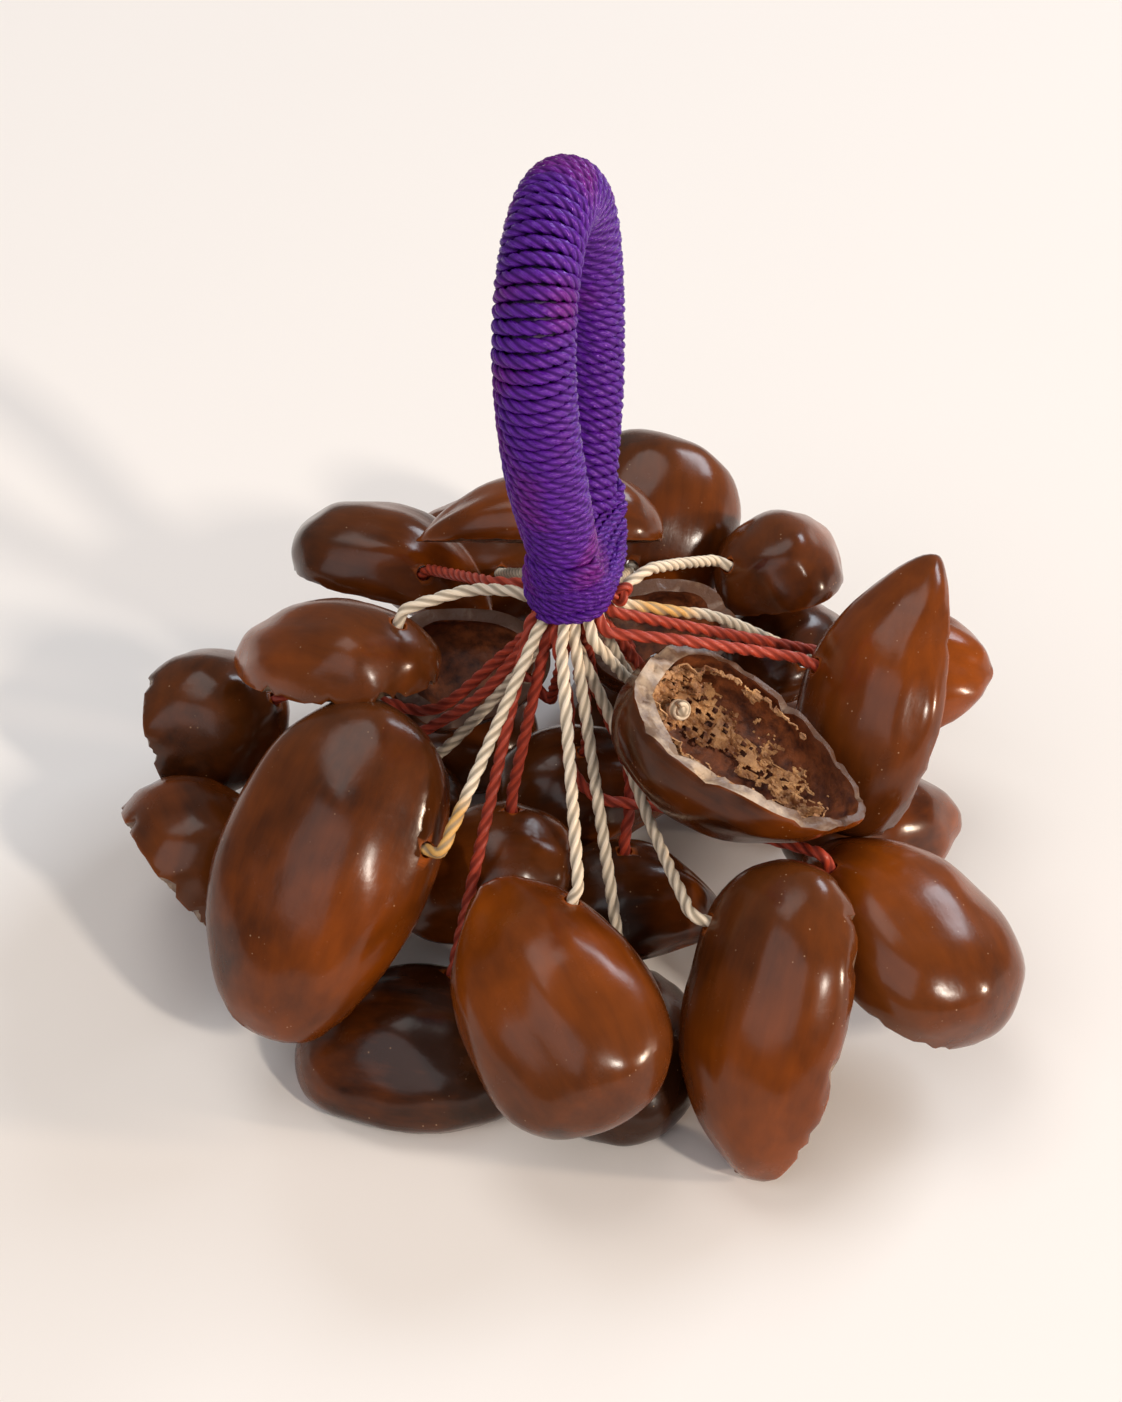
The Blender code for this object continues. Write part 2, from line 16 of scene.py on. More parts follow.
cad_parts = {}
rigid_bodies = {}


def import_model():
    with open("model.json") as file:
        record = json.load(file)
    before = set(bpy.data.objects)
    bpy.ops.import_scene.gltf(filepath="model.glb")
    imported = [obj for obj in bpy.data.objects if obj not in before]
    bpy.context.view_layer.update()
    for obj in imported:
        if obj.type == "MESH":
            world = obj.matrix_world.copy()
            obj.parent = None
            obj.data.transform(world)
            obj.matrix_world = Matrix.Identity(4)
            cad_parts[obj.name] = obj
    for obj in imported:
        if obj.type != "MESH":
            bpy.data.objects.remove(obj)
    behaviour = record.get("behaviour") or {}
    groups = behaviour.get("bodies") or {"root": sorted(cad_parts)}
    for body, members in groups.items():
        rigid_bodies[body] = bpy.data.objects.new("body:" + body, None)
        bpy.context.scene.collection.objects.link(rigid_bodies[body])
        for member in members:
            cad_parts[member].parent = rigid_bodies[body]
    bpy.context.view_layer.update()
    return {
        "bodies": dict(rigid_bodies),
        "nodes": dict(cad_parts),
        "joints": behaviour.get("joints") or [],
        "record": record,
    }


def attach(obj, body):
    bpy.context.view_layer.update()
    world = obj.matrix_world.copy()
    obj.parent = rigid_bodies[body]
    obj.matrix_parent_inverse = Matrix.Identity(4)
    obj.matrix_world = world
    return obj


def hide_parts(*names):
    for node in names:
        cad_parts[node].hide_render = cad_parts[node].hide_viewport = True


log = logging.getLogger("seed_shaker")

MM = 0.001
AXIS_PLACE = Vector((1.3, -3.9, 0.0)) * MM

# The solids' own sizes, which the looks follow
CLEARANCE = 0.3 * MM
CORD_PLAY = 0.28 * MM
CORD_DIAMETER = 1.85 * MM
KNOT_LENGTH = 4.0 * MM
KNOT_DEPTH = 4.3 * MM
CORD_STEP = 5.2 * MM
WINDING_CORD = 1.6 * MM
CORE_DIAMETER = 8.4 * MM
FOOT_DIAMETER = 6.6 * MM
FOOT_LENGTH = 25.0 * MM
LOOP_HEIGHT = 64.0 * MM
LOOP_SWELL = 23.0 * MM
LOOP_TAPER = 1.4
LOOP_TURN = math.radians(78.0)
LOOP_LEAN = 3.4 * MM
COLLAR_BOTTOM = 68.0 * MM
LOOP_BOTTOM = COLLAR_BOTTOM + 4.0 * MM
COLLAR_HEIGHT = 9 * WINDING_CORD
CORE_END_LIFT = 4.0 * MM
BUNDLE_RADIUS = 4.9 * MM
BUNDLE_GROWTH = 0.1 * MM
BUNDLE_SPREAD = 0.42
BUNDLE_DROP = 3.0 * MM
WALL = 2.4 * MM
TIP_SHARPNESS = 0.62
END_ROUNDNESS = 0.40
BEAK = 0.16
UNDERSIDE = 0.85
END_WALL = 1.3
HOLE_STANDOFF = 3.0 * MM
HOLE_RANGE = (-0.5, 0.35)
HOLE_LIFT = 0.35
NORMAL_STEP = 0.02
LEAST_WISH = 0.1

# Working values of the looks
BISECT_TOLERANCE = 0.001 * MM


class Dye(Enum):
    """Colour of a shell cord."""

    RED = "red_cord"
    CREAM = "cream_cord"


@dataclass(frozen=True)
class Seed:
    """One seed shell and its cord, as in the solids: millimetres and directions of any length."""

    name: str
    place: tuple[float, float, float]
    tip: tuple[float, float, float]
    mouth: tuple[float, float, float]
    size: tuple[float, float, float]
    cut: float
    dye: Dye
    via: tuple = ()
    hole: tuple = ()
    stands: bool = False
    sharpness: float = TIP_SHARPNESS
    orange: float = 0.5         # how thin and orange the polished skin is
    pale: float = 0.3           # how pale the sawn rim is
    jag: float = 0.25           # depth of the chips in the rim, in millimetres
    thin: float = 0.0           # how far its wall is worn thin on one side
    stain: tuple[float, float] = (2.0, 2.0)     # where its cord is stained, as shares of its length


RED = Dye.RED
CREAM = Dye.CREAM

SEEDS = (
    Seed("front_left_large", (-40, -27, 33), (-22, -40, -36), (0.3, 0.9, -1.0), (56, 35, 27), 0.30, CREAM,
         hole=(-0.3, 0.9, 0.35), sharpness=0.45, orange=0.36, pale=0.2, jag=1.0,
         stain=(0.68, 1.0)),
    Seed("left_pointed", (-65, -8, 19), (-0.4, 0.9, -0.1), (-0.8, -0.4, -0.5), (34, 29, 27), 0.30, RED,
         via=((-14, -2, 50), (-26, 2, 37), (-42, -3, 31)), orange=0.50, jag=1.0),
    Seed("left_upper", (-64, 20, 25), (0.2, 0.8, -0.4), (-1.0, 0.0, -0.25), (34, 26, 30), 0.35, RED,
         via=((-13, 5, 50), (-24, 7, 38), (-36, 13, 36)), orange=0.38, jag=0.8),
    Seed("left_high", (-41, 6, 49), (-1.0, 0.7, -0.3), (0.1, -0.4, -1.0), (39, 27, 21), 0.20, CREAM,
         via=((-9, 1, 67), (-17, 3, 66)), hole=(-0.75, -0.1, 0.65), orange=0.50, pale=0.5, jag=1.3),
    Seed("back_left", (-32, 45, 39), (1.0, -0.3, -0.1), (0.0, -0.5, -1.0), (38, 29, 23), 0.25, RED,
         via=((-13, 8, 64),), orange=0.35),
    Seed("inner_left", (-18, 20, 37), (1, 0.3, 0), (-0.2, -0.6, 0.8), (30, 22, 18), 0.20, RED,
         hole=(0.6, 0.6, 0.15), orange=0.15, pale=0.0),
    Seed("back_centre", (-6, 39, 53), (-1, 0.0, 0.0), (0.0, -0.6, -0.8), (43, 26, 20), 0.25, CREAM,
         orange=0.55),
    Seed("back_far", (-19, 65, 26), (-1, 0.2, -0.2), (0.0, 0.3, -1.0), (38, 28, 24), 0.25, CREAM,
         via=((-5, 14, 61),), orange=0.5),
    Seed("back_right", (13, 55, 38), (-0.2, -1, -0.8), (0.1, 0.3, -1.0), (42, 33, 26), 0.25, CREAM,
         orange=0.4),
    Seed("inner_right", (15, 23, 42), (1, 0.4, 0.0), (0.2, -0.5, 0.9), (27, 21, 18), 0.20, RED,
         hole=(-0.85, 0.1, 0.4), orange=0.35, pale=0.0),
    Seed("right_back", (37, 43, 41), (0.2, 1, -0.3), (0.3, 0.3, -1.0), (33, 23, 22), 0.25, CREAM,
         via=((12, 10, 65),), hole=(-0.65, 0.45, 0.4), orange=0.5),
    Seed("right_behind", (39, 40, 26), (1, 0.8, 0.1), (0.2, 0.2, -1.0), (27, 22, 18), 0.25, CREAM,
         via=((18, 9, 57), (25, 15, 51)), hole=(-0.3, -0.7, 0.5), orange=0.3, stain=(0.20, 0.31)),
    Seed("right_tall", (50, 1, 46), (12, 23, 40), (1.0, 0.2, -0.4), (48, 32, 25), 0.35, RED,
         via=((17, -5, 62),), orange=0.42, pale=0.4, jag=0.7),
    Seed("far_right", (60, 27, 30), (1, -0.1, 0.3), (0.3, 0.2, -1.0), (28, 26, 22), 0.25, RED, orange=0.5),
    Seed("right_under", (52, 4, 14), (1, 0.4, 0.0), (0.1, 0.1, -1.0), (34, 26, 22), 0.25, CREAM,
         via=((9, 1, 50), (21, 2, 34)), hole=(-0.6, 0.3, 0.45), orange=0.3),
    Seed("right_front", (52, -32, 24), (-0.5, 0.9, 0.2), (-0.3, -0.3, -1.0), (44, 34, 26), 0.30, RED,
         via=((-1, -9, 51), (-1, -9, 40), (4, -10, 33), (14, -11, 32), (27, -18, 33)), orange=0.58,
         pale=0.4, jag=0.6),
    Seed("front_right", (30, -50, 22), (-11, -31, -39), (1.0, 0.4, -0.4), (50, 31, 26), 0.35, CREAM,
         via=((7, -7, 44), (12, -19, 36)), hole=(-0.5, -0.35, 0.75), sharpness=0.5, orange=0.45, pale=0.5,
         jag=1.6),
    Seed("open_centre", (26, -19, 50), (18, -9, -9), (0.4, -0.1, 0.9), (43, 31, 27), 0.30, CREAM,
         hole=(-0.7, -0.45, 0.5), orange=0.35, pale=0.8, jag=0.9, thin=1.0),
    Seed("front_centre", (-4, -50, 27), (-10, 17, 9), (0.2, 0.3, -1.0), (44, 31, 24), 0.30, CREAM,
         orange=0.50, pale=0.9, jag=0.5),
    Seed("front_left_low", (-26, -41, 0), (-1, 0.2, 0), (0, 0, -1.0), (40, 30, 24), 0.50, RED, stands=True,
         sharpness=0.42, orange=0.12, pale=0.15, jag=0.35),
    Seed("inner_front", (-16, -15, 20), (-1, -0.1, -0.2), (0.0, 0.1, -1.0), (32, 25, 21), 0.30, RED,
         orange=0.4),
    Seed("front_low", (9, -40, 0), (0.15, 1, 0), (0, 0, -1.0), (38, 24, 22), 0.50, CREAM, stands=True,
         orange=0.1),
    Seed("inner_low", (11, -12, 11), (1, 0.1, 0), (0, 0, -1.0), (29, 24, 20), 0.30, RED,
         via=((3, 0, 50), (9, -5, 34)), orange=0.15),
    Seed("inner_back", (2, 12, 16), (1, 0.2, 0.1), (0.0, 0.1, -1.0), (34, 26, 22), 0.30, RED, orange=0.3),
    Seed("left_low", (-38, 18, 0), (-1, 0.6, 0), (0, 0, -1.0), (40, 28, 24), 0.50, CREAM, stands=True,
         via=((-11, 3, 47), (-22, 5, 31)), orange=0.4),
    Seed("back_low_left", (-22, 46, 0), (-0.3, 1, 0), (0, 0, -1.0), (40, 28, 22), 0.50, RED, stands=True,
         via=((-3, 16, 50), (-4, 31, 34)), orange=0.5),
    Seed("back_low_right", (14, 50, 0), (0.3, 1, 0), (0, 0, -1.0), (40, 28, 22), 0.50, CREAM, stands=True,
         via=((0, 17, 49), (1, 31, 34)), orange=0.35),
    Seed("right_low", (40, 32, 0), (1, 0.8, 0), (0, 0, -1.0), (38, 26, 22), 0.50, RED, stands=True,
         via=((12, 6, 46), (17, 11, 29), (23, 17, 19)), orange=0.55),
)


def as_rows(points: list) -> np.ndarray:
    """Points as the rows of an array."""
    return np.array([tuple(point) for point in points])


def unit(rows: np.ndarray) -> np.ndarray:
    """Rows made unit length."""
    return rows / np.linalg.norm(rows, axis=1)[:, None]


def square_to(rows: np.ndarray, axes: np.ndarray) -> np.ndarray:
    """Rows without their part along the unit axes, made unit length."""
    return unit(rows - axes * (rows * axes).sum(axis=1)[:, None])


def heading_of(line: np.ndarray) -> np.ndarray:
    """Unit direction of a line at each of its points."""
    return unit(np.gradient(line, axis=0))


def run_lengths(line: np.ndarray) -> np.ndarray:
    """Length along a line up to each of its points."""
    return np.concatenate(([0.0], np.cumsum(np.linalg.norm(np.diff(line, axis=0), axis=1))))


def rows_at(wanted: np.ndarray, runs: np.ndarray, rows: np.ndarray) -> np.ndarray:
    """Rows at wanted lengths, between those at the given lengths."""
    return np.stack([np.interp(wanted, runs, rows[:, axis]) for axis in range(3)], axis=1)


def declare(piece: bpy.types.Object, node: str = "") -> bpy.types.Object:
    """Tell the frame what a finished piece is.

    Args:
        piece: the finished piece.
        node: name of the solid that it replaces, if any.
    Returns:
        The piece.
    """
    if node:
        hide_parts(node)
    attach(piece, "root")
    return piece


class Layout:
    """Where the pieces of the solids lie, worked out as the solids' own source does."""

    @staticmethod
    def smooth_route(route: list[Vector], step: float) -> list[Vector]:
        """Points along a smooth curve through a route.

        Args:
            route: points that the curve passes.
            step: spacing to aim for.
        Returns:
            The curve's points, both ends among them.
        """
        padded = [2 * route[0] - route[1], *route, 2 * route[-1] - route[-2]]
        points = [route[0].copy()]
        for a, b, c, d in zip(padded, padded[1:], padded[2:], padded[3:]):
            count = max(1, round((c - b).length / step))
            for index in range(1, count + 1):
                t = index / count
                bend = (c - a) * t
                bend += (2 * a - 5 * b + 4 * c - d) * t**2
                bend += (3 * b - a - 3 * c + d) * t**3
                points.append(b + 0.5 * bend)
        return points

    @staticmethod
    def even_points(points: list[Vector], step: float) -> list[Vector]:
        """Points at even spacing along a run of points, close to the given step."""
        line = as_rows(points)
        runs = run_lengths(line)
        count = max(1, round(runs[-1] / step))
        return [Vector(point) for point in rows_at(np.linspace(0.0, runs[-1], count + 1), runs, line)]

    @staticmethod
    def loop_point(t: float) -> Vector:
        """Point of the handle's centre line, for t from 0 at the near foot to 2 pi at the far foot."""
        half_gap = (FOOT_DIAMETER + CLEARANCE) / 2
        foot = half_gap * math.cos(t / 2) * abs(math.cos(t / 2))
        side = foot + LOOP_SWELL * math.sin(t) * abs(math.sin(t / 2)) ** LOOP_TAPER
        rise = (1 - math.cos(t)) / 2
        along = Vector((math.cos(LOOP_TURN), math.sin(LOOP_TURN), 0.0))
        return Vector((-LOOP_LEAN * rise, 0.0, LOOP_BOTTOM + LOOP_HEIGHT * rise)) - along * side

    @staticmethod
    def core_width(height: float) -> float:
        """Diameter of the handle's core at a height."""
        share = max(0.0, min(1.0, (height - LOOP_BOTTOM) / FOOT_LENGTH))
        return FOOT_DIAMETER + (CORE_DIAMETER - FOOT_DIAMETER) * share

    @staticmethod
    def leg_offset(height: float) -> float:
        """Distance of the legs' centre lines from the collar's axis at a height."""
        if height <= LOOP_BOTTOM:
            return (FOOT_DIAMETER + CLEARANCE) / 2
        t = math.acos(1 - 2 * (height - LOOP_BOTTOM) / LOOP_HEIGHT)
        point = Layout.loop_point(t)
        rise = (1 - math.cos(t)) / 2
        return math.hypot(point.x + LOOP_LEAN * rise, point.y)

    @staticmethod
    def seed_frame(seed: Seed) -> Matrix:
        """Matrix that places a seed: its X axis runs to the tip and its -Z axis out of the mouth."""
        tip = Vector(seed.tip).normalized()
        mouth = Vector(seed.mouth)
        back = -(mouth - tip * mouth.dot(tip)).normalized()
        side = back.cross(tip)
        frame = Matrix((tip, side, back)).transposed().to_4x4()
        frame.translation = Vector(seed.place) * MM
        if seed.stands:
            frame.translation.z = seed.cut * seed.size[2] * MM / 2
        return frame

    @staticmethod
    def seed_surface(seed: Seed, direction: Vector, inset: float) -> Vector:
        """Point of a seed's surface, inset by a distance, in a direction of the unit sphere."""
        length, width, thickness = (value * MM for value in seed.size)
        along = max(-1.0, min(1.0, direction.x))
        ring = math.hypot(direction.y, direction.z)
        sharp = seed.sharpness
        widest = (END_ROUNDNESS - sharp) / (END_ROUNDNESS + sharp)
        full = (1 - widest) ** sharp * (1 + widest) ** END_ROUNDNESS
        girth = (1 - along) ** sharp * (1 + along) ** END_ROUNDNESS / full
        across = direction.y / ring if ring else 0.0
        up = direction.z / ring if ring else 0.0
        depth = thickness / 2 - inset
        if up < 0:
            depth *= UNDERSIDE
        droop = BEAK * thickness * max(0.0, along) ** 2
        return Vector((
            (length / 2 - inset * END_WALL) * along,
            (width / 2 - inset) * girth * across,
            depth * girth * up - droop,
        ))

    @staticmethod
    def hole_of(seed: Seed) -> tuple[Vector, Vector]:
        """Centre and outward direction of a shell's cord hole, before the move to the collar's place."""
        frame = Layout.seed_frame(seed)
        toward = frame.inverted() @ Vector((0.0, 0.0, COLLAR_BOTTOM))
        toward.normalize()
        least, most = HOLE_RANGE
        direction = Vector((max(least, min(most, toward.x)), toward.y, max(HOLE_LIFT, toward.z)))
        if seed.hole:
            direction = Vector(seed.hole)
        direction.normalize()
        middle = Layout.seed_surface(seed, direction, 0.0)
        along = Vector((NORMAL_STEP, 0, 0))
        around = Vector((0, -direction.z, direction.y)).normalized() * NORMAL_STEP
        one = Layout.seed_surface(seed, (direction + along).normalized(), 0.0) - middle
        two = Layout.seed_surface(seed, (direction + around).normalized(), 0.0) - middle
        normal = one.cross(two).normalized()
        if normal.dot(direction) < 0:
            normal.negate()
        return frame @ middle, (frame.to_3x3() @ normal).normalized()

    @staticmethod
    def bundle_slots(radius: float) -> list[Vector]:
        """Places for cords in a bore with round ends of this radius."""
        pitch = CORD_DIAMETER + CORD_PLAY
        straight = (FOOT_DIAMETER + CLEARANCE) / 2
        room = radius - CORD_PLAY - CORD_DIAMETER / 2
        turn = Matrix.Rotation(LOOP_TURN - math.pi / 2, 3, "Z")
        slots = []
        for row in range(-5, 6):
            along = row * pitch * math.sqrt(0.75)
            past = max(0.0, abs(along) - straight)
            for column in range(-3, 4):
                across = (column + 0.5 * (row % 2)) * pitch
                if math.hypot(across, past) <= room:
                    slots.append(turn @ Vector((across, along, 0.0)))
        return slots

    @staticmethod
    def bundle_radius() -> float:
        """Radius of the bore's round ends: the least one that has a place for every cord."""
        radius = BUNDLE_RADIUS
        while len(Layout.bundle_slots(radius)) < len(SEEDS):
            radius += BUNDLE_GROWTH
        return radius

    @staticmethod
    def share_slots() -> dict[str, Vector]:
        """The slot of each seed's cord, shared out so that none cross."""
        wishes = []
        for seed in SEEDS:
            centre, outward = Layout.hole_of(seed)
            first = Vector(seed.via[0]) * MM if seed.via else centre + outward * HOLE_STANDOFF
            start = first - Vector((0.0, 0.0, COLLAR_BOTTOM))
            flat = Vector((start.x, start.y, 0.0)).normalized()
            wishes.append(flat * max(LEAST_WISH, 1.0 + start.z / start.length))
        given = Layout.bundle_slots(Layout.bundle_radius())[:len(SEEDS)]
        swapped = True
        while swapped:
            swapped = False
            for one in range(len(SEEDS)):
                for other in range(one):
                    if (given[one] - given[other]).dot(wishes[other] - wishes[one]) > 1e-9:
                        given[one], given[other] = given[other], given[one]
                        swapped = True
        return {seed.name: slot for seed, slot in zip(SEEDS, given)}

    @staticmethod
    def cord_route(seed: Seed, slot: Vector) -> list[Vector]:
        """The centre line of a shell's cord, in its real place, from the collar to its knot's end."""
        centre, outward = Layout.hole_of(seed)
        top = Vector((slot.x, slot.y, COLLAR_BOTTOM + CORE_END_LIFT - CLEARANCE))
        mouth = Vector((slot.x, slot.y, COLLAR_BOTTOM))
        spread = mouth + Vector((slot.x, slot.y, 0.0)) * BUNDLE_SPREAD - Vector((0.0, 0.0, BUNDLE_DROP))
        gate = centre + outward * HOLE_STANDOFF
        route = [mouth, spread, *[Vector(point) * MM for point in seed.via], gate, centre]
        smooth = Layout.smooth_route(route, CORD_STEP)
        end = centre - outward * (KNOT_DEPTH + KNOT_LENGTH)
        return [point + AXIS_PLACE for point in (top, *smooth, end)]


class Workbench:
    """Small jobs of modelling that every piece needs."""

    @staticmethod
    def clear_selection() -> None:
        """Leave edit mode and deselect everything."""
        if bpy.context.object and bpy.context.object.mode != "OBJECT":
            bpy.ops.object.mode_set(mode="OBJECT")
        bpy.ops.object.select_all(action="DESELECT")

    @staticmethod
    def activate(*items: bpy.types.Object) -> None:
        """Select only these objects, the first of them active."""
        Workbench.clear_selection()
        for item in items:
            item.select_set(True)
        bpy.context.view_layer.objects.active = items[0]

    @staticmethod
    def apply_modifier(item: bpy.types.Object, kind: str, **settings: object) -> None:
        """Add a modifier with these settings and apply it."""
        Workbench.activate(item)
        modifier = item.modifiers.new(kind.lower(), kind)
        for name, value in settings.items():
            setattr(modifier, name, value)
        bpy.ops.object.modifier_apply(modifier=modifier.name)

    @staticmethod
    def tube(name: str, rings: np.ndarray, uv: np.ndarray, depth: np.ndarray) -> bpy.types.Object:
        """A closed tube through rings of points.

        Args:
            name: name of the new object.
            rings: array of rings by sides by 3, each ring running the same way round.
            uv: for each ring its distance along the tube, written to the map "twist".
            depth: for each side how deep it lies in a groove, written to the attribute "groove".
        Returns:
            The new object, smooth shaded.
        """
        count, sides = rings.shape[:2]
        ids = np.arange(count * sides).reshape(count, sides)
        after = np.roll(ids, -1, axis=1)
        quads = np.stack([ids[:-1], after[:-1], after[1:], ids[1:]], axis=-1).reshape(-1, 4)
        faces = [tuple(quad) for quad in quads.tolist()]
        faces.append(tuple(reversed(ids[0].tolist())))
        faces.append(tuple(ids[-1].tolist()))
        mesh = bpy.data.meshes.new(name)
        mesh.from_pydata(rings.reshape(-1, 3).tolist(), [], faces)
        layer = mesh.uv_layers.new(name="twist")
        turn = np.arange(sides) / sides
        low = np.stack(np.broadcast_arrays(uv[:-1, None], turn[None, :]), axis=-1)
        high = np.stack(np.broadcast_arrays(uv[1:, None], turn[None, :]), axis=-1)
        step = np.array((0.0, 1.0 / sides))
        corners = np.stack([low, low + step, high + step, high], axis=2).reshape(-1, 2)
        caps = np.zeros((2 * sides, 2))
        layer.data.foreach_set("uv", np.concatenate([corners, caps]).ravel().astype(np.float32))
        groove = mesh.attributes.new("groove", "FLOAT", "POINT")
        groove.data.foreach_set("value", np.tile(depth, count).astype(np.float32))
        mesh.update()
        item = bpy.data.objects.new(name, mesh)
        bpy.context.scene.collection.objects.link(item)
        mesh.shade_smooth()
        box = bmesh.new()
        box.from_mesh(mesh)
        if box.calc_volume(signed=True) < 0:
            bmesh.ops.reverse_faces(box, faces=box.faces)
            box.to_mesh(mesh)
        box.free()
        return item

    @staticmethod
    def join(name: str, items: list[bpy.types.Object]) -> bpy.types.Object:
        """Join objects into one with this name."""
        Workbench.activate(*items)
        if len(items) > 1:
            bpy.ops.object.join()
        joined = bpy.context.object
        joined.name = name
        joined.data.name = name
        return joined


@dataclass
class TwistedCord:
    """A plied cord swept along a line: strands that wind round each other with a groove between them."""

    diameter: float
    plies: int = 3
    lay: float = 9.2 * MM       # length in which the strands go once round
    step: float = 0.42 * MM
    sides: int = 15
    flatness: float = 1.0       # thickness compared with width
    groove: float = 1.0         # depth of the grooves, as a share of that of a hard-twisted cord
    seed: int = 1

    def section(self) -> tuple[np.ndarray, np.ndarray]:
        """Angles of the cord's sides from a strand's crest, and their shares of the cord's radius."""
        angle = 2 * math.pi * np.arange(self.sides) / self.sides
        half = math.pi / self.plies
        bent = np.mod(angle + half, 2 * half) - half
        offset = 0.44 if self.plies == 3 else 0.42
        radius = 1.0 - offset
        chord = np.maximum(0.02, radius**2 - (offset * np.sin(bent)) ** 2)
        reach = offset * np.cos(bent) + np.sqrt(chord)
        return angle, 1.0 - (1.0 - reach) * self.groove

    def wrap(self, name: str, line: np.ndarray, across: np.ndarray, up: np.ndarray) -> bpy.types.Object:
        """Lay the cord along a line, its sides turning with the strands so that ridges are clean.

        Args:
            name: name of the new object.
            line: ring centres.
            across: unit vectors of the cord's wide side at each ring.
            up: unit vectors of its thickness at each ring.
        Returns:
            The cord as a closed mesh.
        """
        runs = run_lengths(line)
        waver = np.array([noise.noise((run * 160.0, self.seed * 7.3, 0.0)) for run in runs])
        twist = 2 * math.pi * runs / self.lay + 0.55 * waver
        base, shape = self.section()
        angle = base[None, :] + twist[:, None]
        radius = shape[None, :] * (self.diameter / 2) * (1.0 + 0.05 * waver[:, None])
        wide = (radius * np.cos(angle))[..., None] * across[:, None, :]
        thick = (radius * np.sin(angle) * self.flatness)[..., None] * up[:, None, :]
        rings = line[:, None, :] + wide + thick
        depth = (1.0 - shape) / (1.0 - shape.min())
        return Workbench.tube(name, rings, runs / self.lay, depth)

    @staticmethod
    def carried_frames(line: np.ndarray) -> tuple[np.ndarray, np.ndarray]:
        """Two cross directions at each point of a line, carried along it without turning."""
        tangents = heading_of(line)
        guess = Vector((0.3, 0.2, 1.0)) if abs(tangents[0][2]) < 0.9 else Vector((1.0, 0.2, 0.1))
        across = []
        carried = guess
        for tangent in tangents:
            forward = Vector(tangent)
            carried = (carried - forward * carried.dot(forward)).normalized()
            across.append(tuple(carried))
        side = np.array(across)
        return side, np.cross(tangents, side)

    def sweep(self, name: str, line: np.ndarray) -> bpy.types.Object:
        """The cord along a free line, as a closed mesh."""
        across, up = self.carried_frames(line)
        return self.wrap(name, line, across, up)


class NodeSheet:
    """A tree of shader nodes and the small jobs of wiring it."""

    def __init__(self, tree: bpy.types.NodeTree) -> None:
        """Work on this tree."""
        self.tree = tree

    def feed(self, socket: bpy.types.NodeSocket, value: object) -> None:
        """Give an input a value, or connect it to another socket."""
        if isinstance(value, bpy.types.NodeSocket):
            self.tree.links.new(value, socket)
        elif socket.type == "RGBA":
            socket.default_value = (*value[:3], 1.0)
        else:
            socket.default_value = value

    def node(self, kind: str, inputs: dict | None = None, **settings: object) -> bpy.types.Node:
        """Add a node with these settings, and with values or links for its inputs."""
        made = self.tree.nodes.new(kind)
        for name, value in settings.items():
            setattr(made, name, value)
        for name, value in (inputs or {}).items():
            self.feed(made.inputs[name], value)
        return made

    def noise(self, place: object, scale: object, detail: float, rough: float) -> bpy.types.NodeSocket:
        """A noise over a place, from 0 to 1."""
        inputs = {"Vector": place, "Scale": scale, "Detail": detail, "Roughness": rough}
        return self.node("ShaderNodeTexNoise", inputs).outputs["Fac"]

    def stretched(self, place: object, scale: tuple[float, float, float]) -> bpy.types.NodeSocket:
        """A place drawn out by a scale for each axis."""
        return self.node("ShaderNodeMapping", {"Vector": place, "Scale": scale}).outputs["Vector"]

    def ramp(self, value: object, start: object, end: object,
             low: object = 0.0, high: object = 1.0) -> bpy.types.NodeSocket:
        """Map a value from the range start to end onto low to high, kept within them."""
        inputs = {"Value": value, "From Min": start, "From Max": end, "To Min": low, "To Max": high}
        return self.node("ShaderNodeMapRange", inputs).outputs["Result"]

    def math(self, kind: str, *values: object) -> bpy.types.NodeSocket:
        """A math node over sockets or numbers."""
        return self.node("ShaderNodeMath", dict(enumerate(values)), operation=kind).outputs["Value"]

    def mix_colour(self, factor: object, one: object, other: object) -> bpy.types.NodeSocket:
        """Mix two colours, each a socket or three numbers."""
        return self.node("ShaderNodeMix", {0: factor, 6: one, 7: other}, data_type="RGBA").outputs[2]

    def attribute(self, name: str, output: str) -> bpy.types.NodeSocket:
        """An attribute of the piece's own mesh."""
        return self.node("ShaderNodeAttribute", attribute_name=name).outputs[output]

    def tone(self) -> tuple[bpy.types.NodeSocket, ...]:
        """A shell's orange, paleness of the rim, nearness to the rim, and place from base to tip."""
        tone = self.node("ShaderNodeAttribute", attribute_name="seed_tone")
        parts = self.node("ShaderNodeSeparateColor", {"Color": tone.outputs["Color"]}).outputs
        return parts["Red"], parts["Green"], parts["Blue"], tone.outputs["Alpha"]


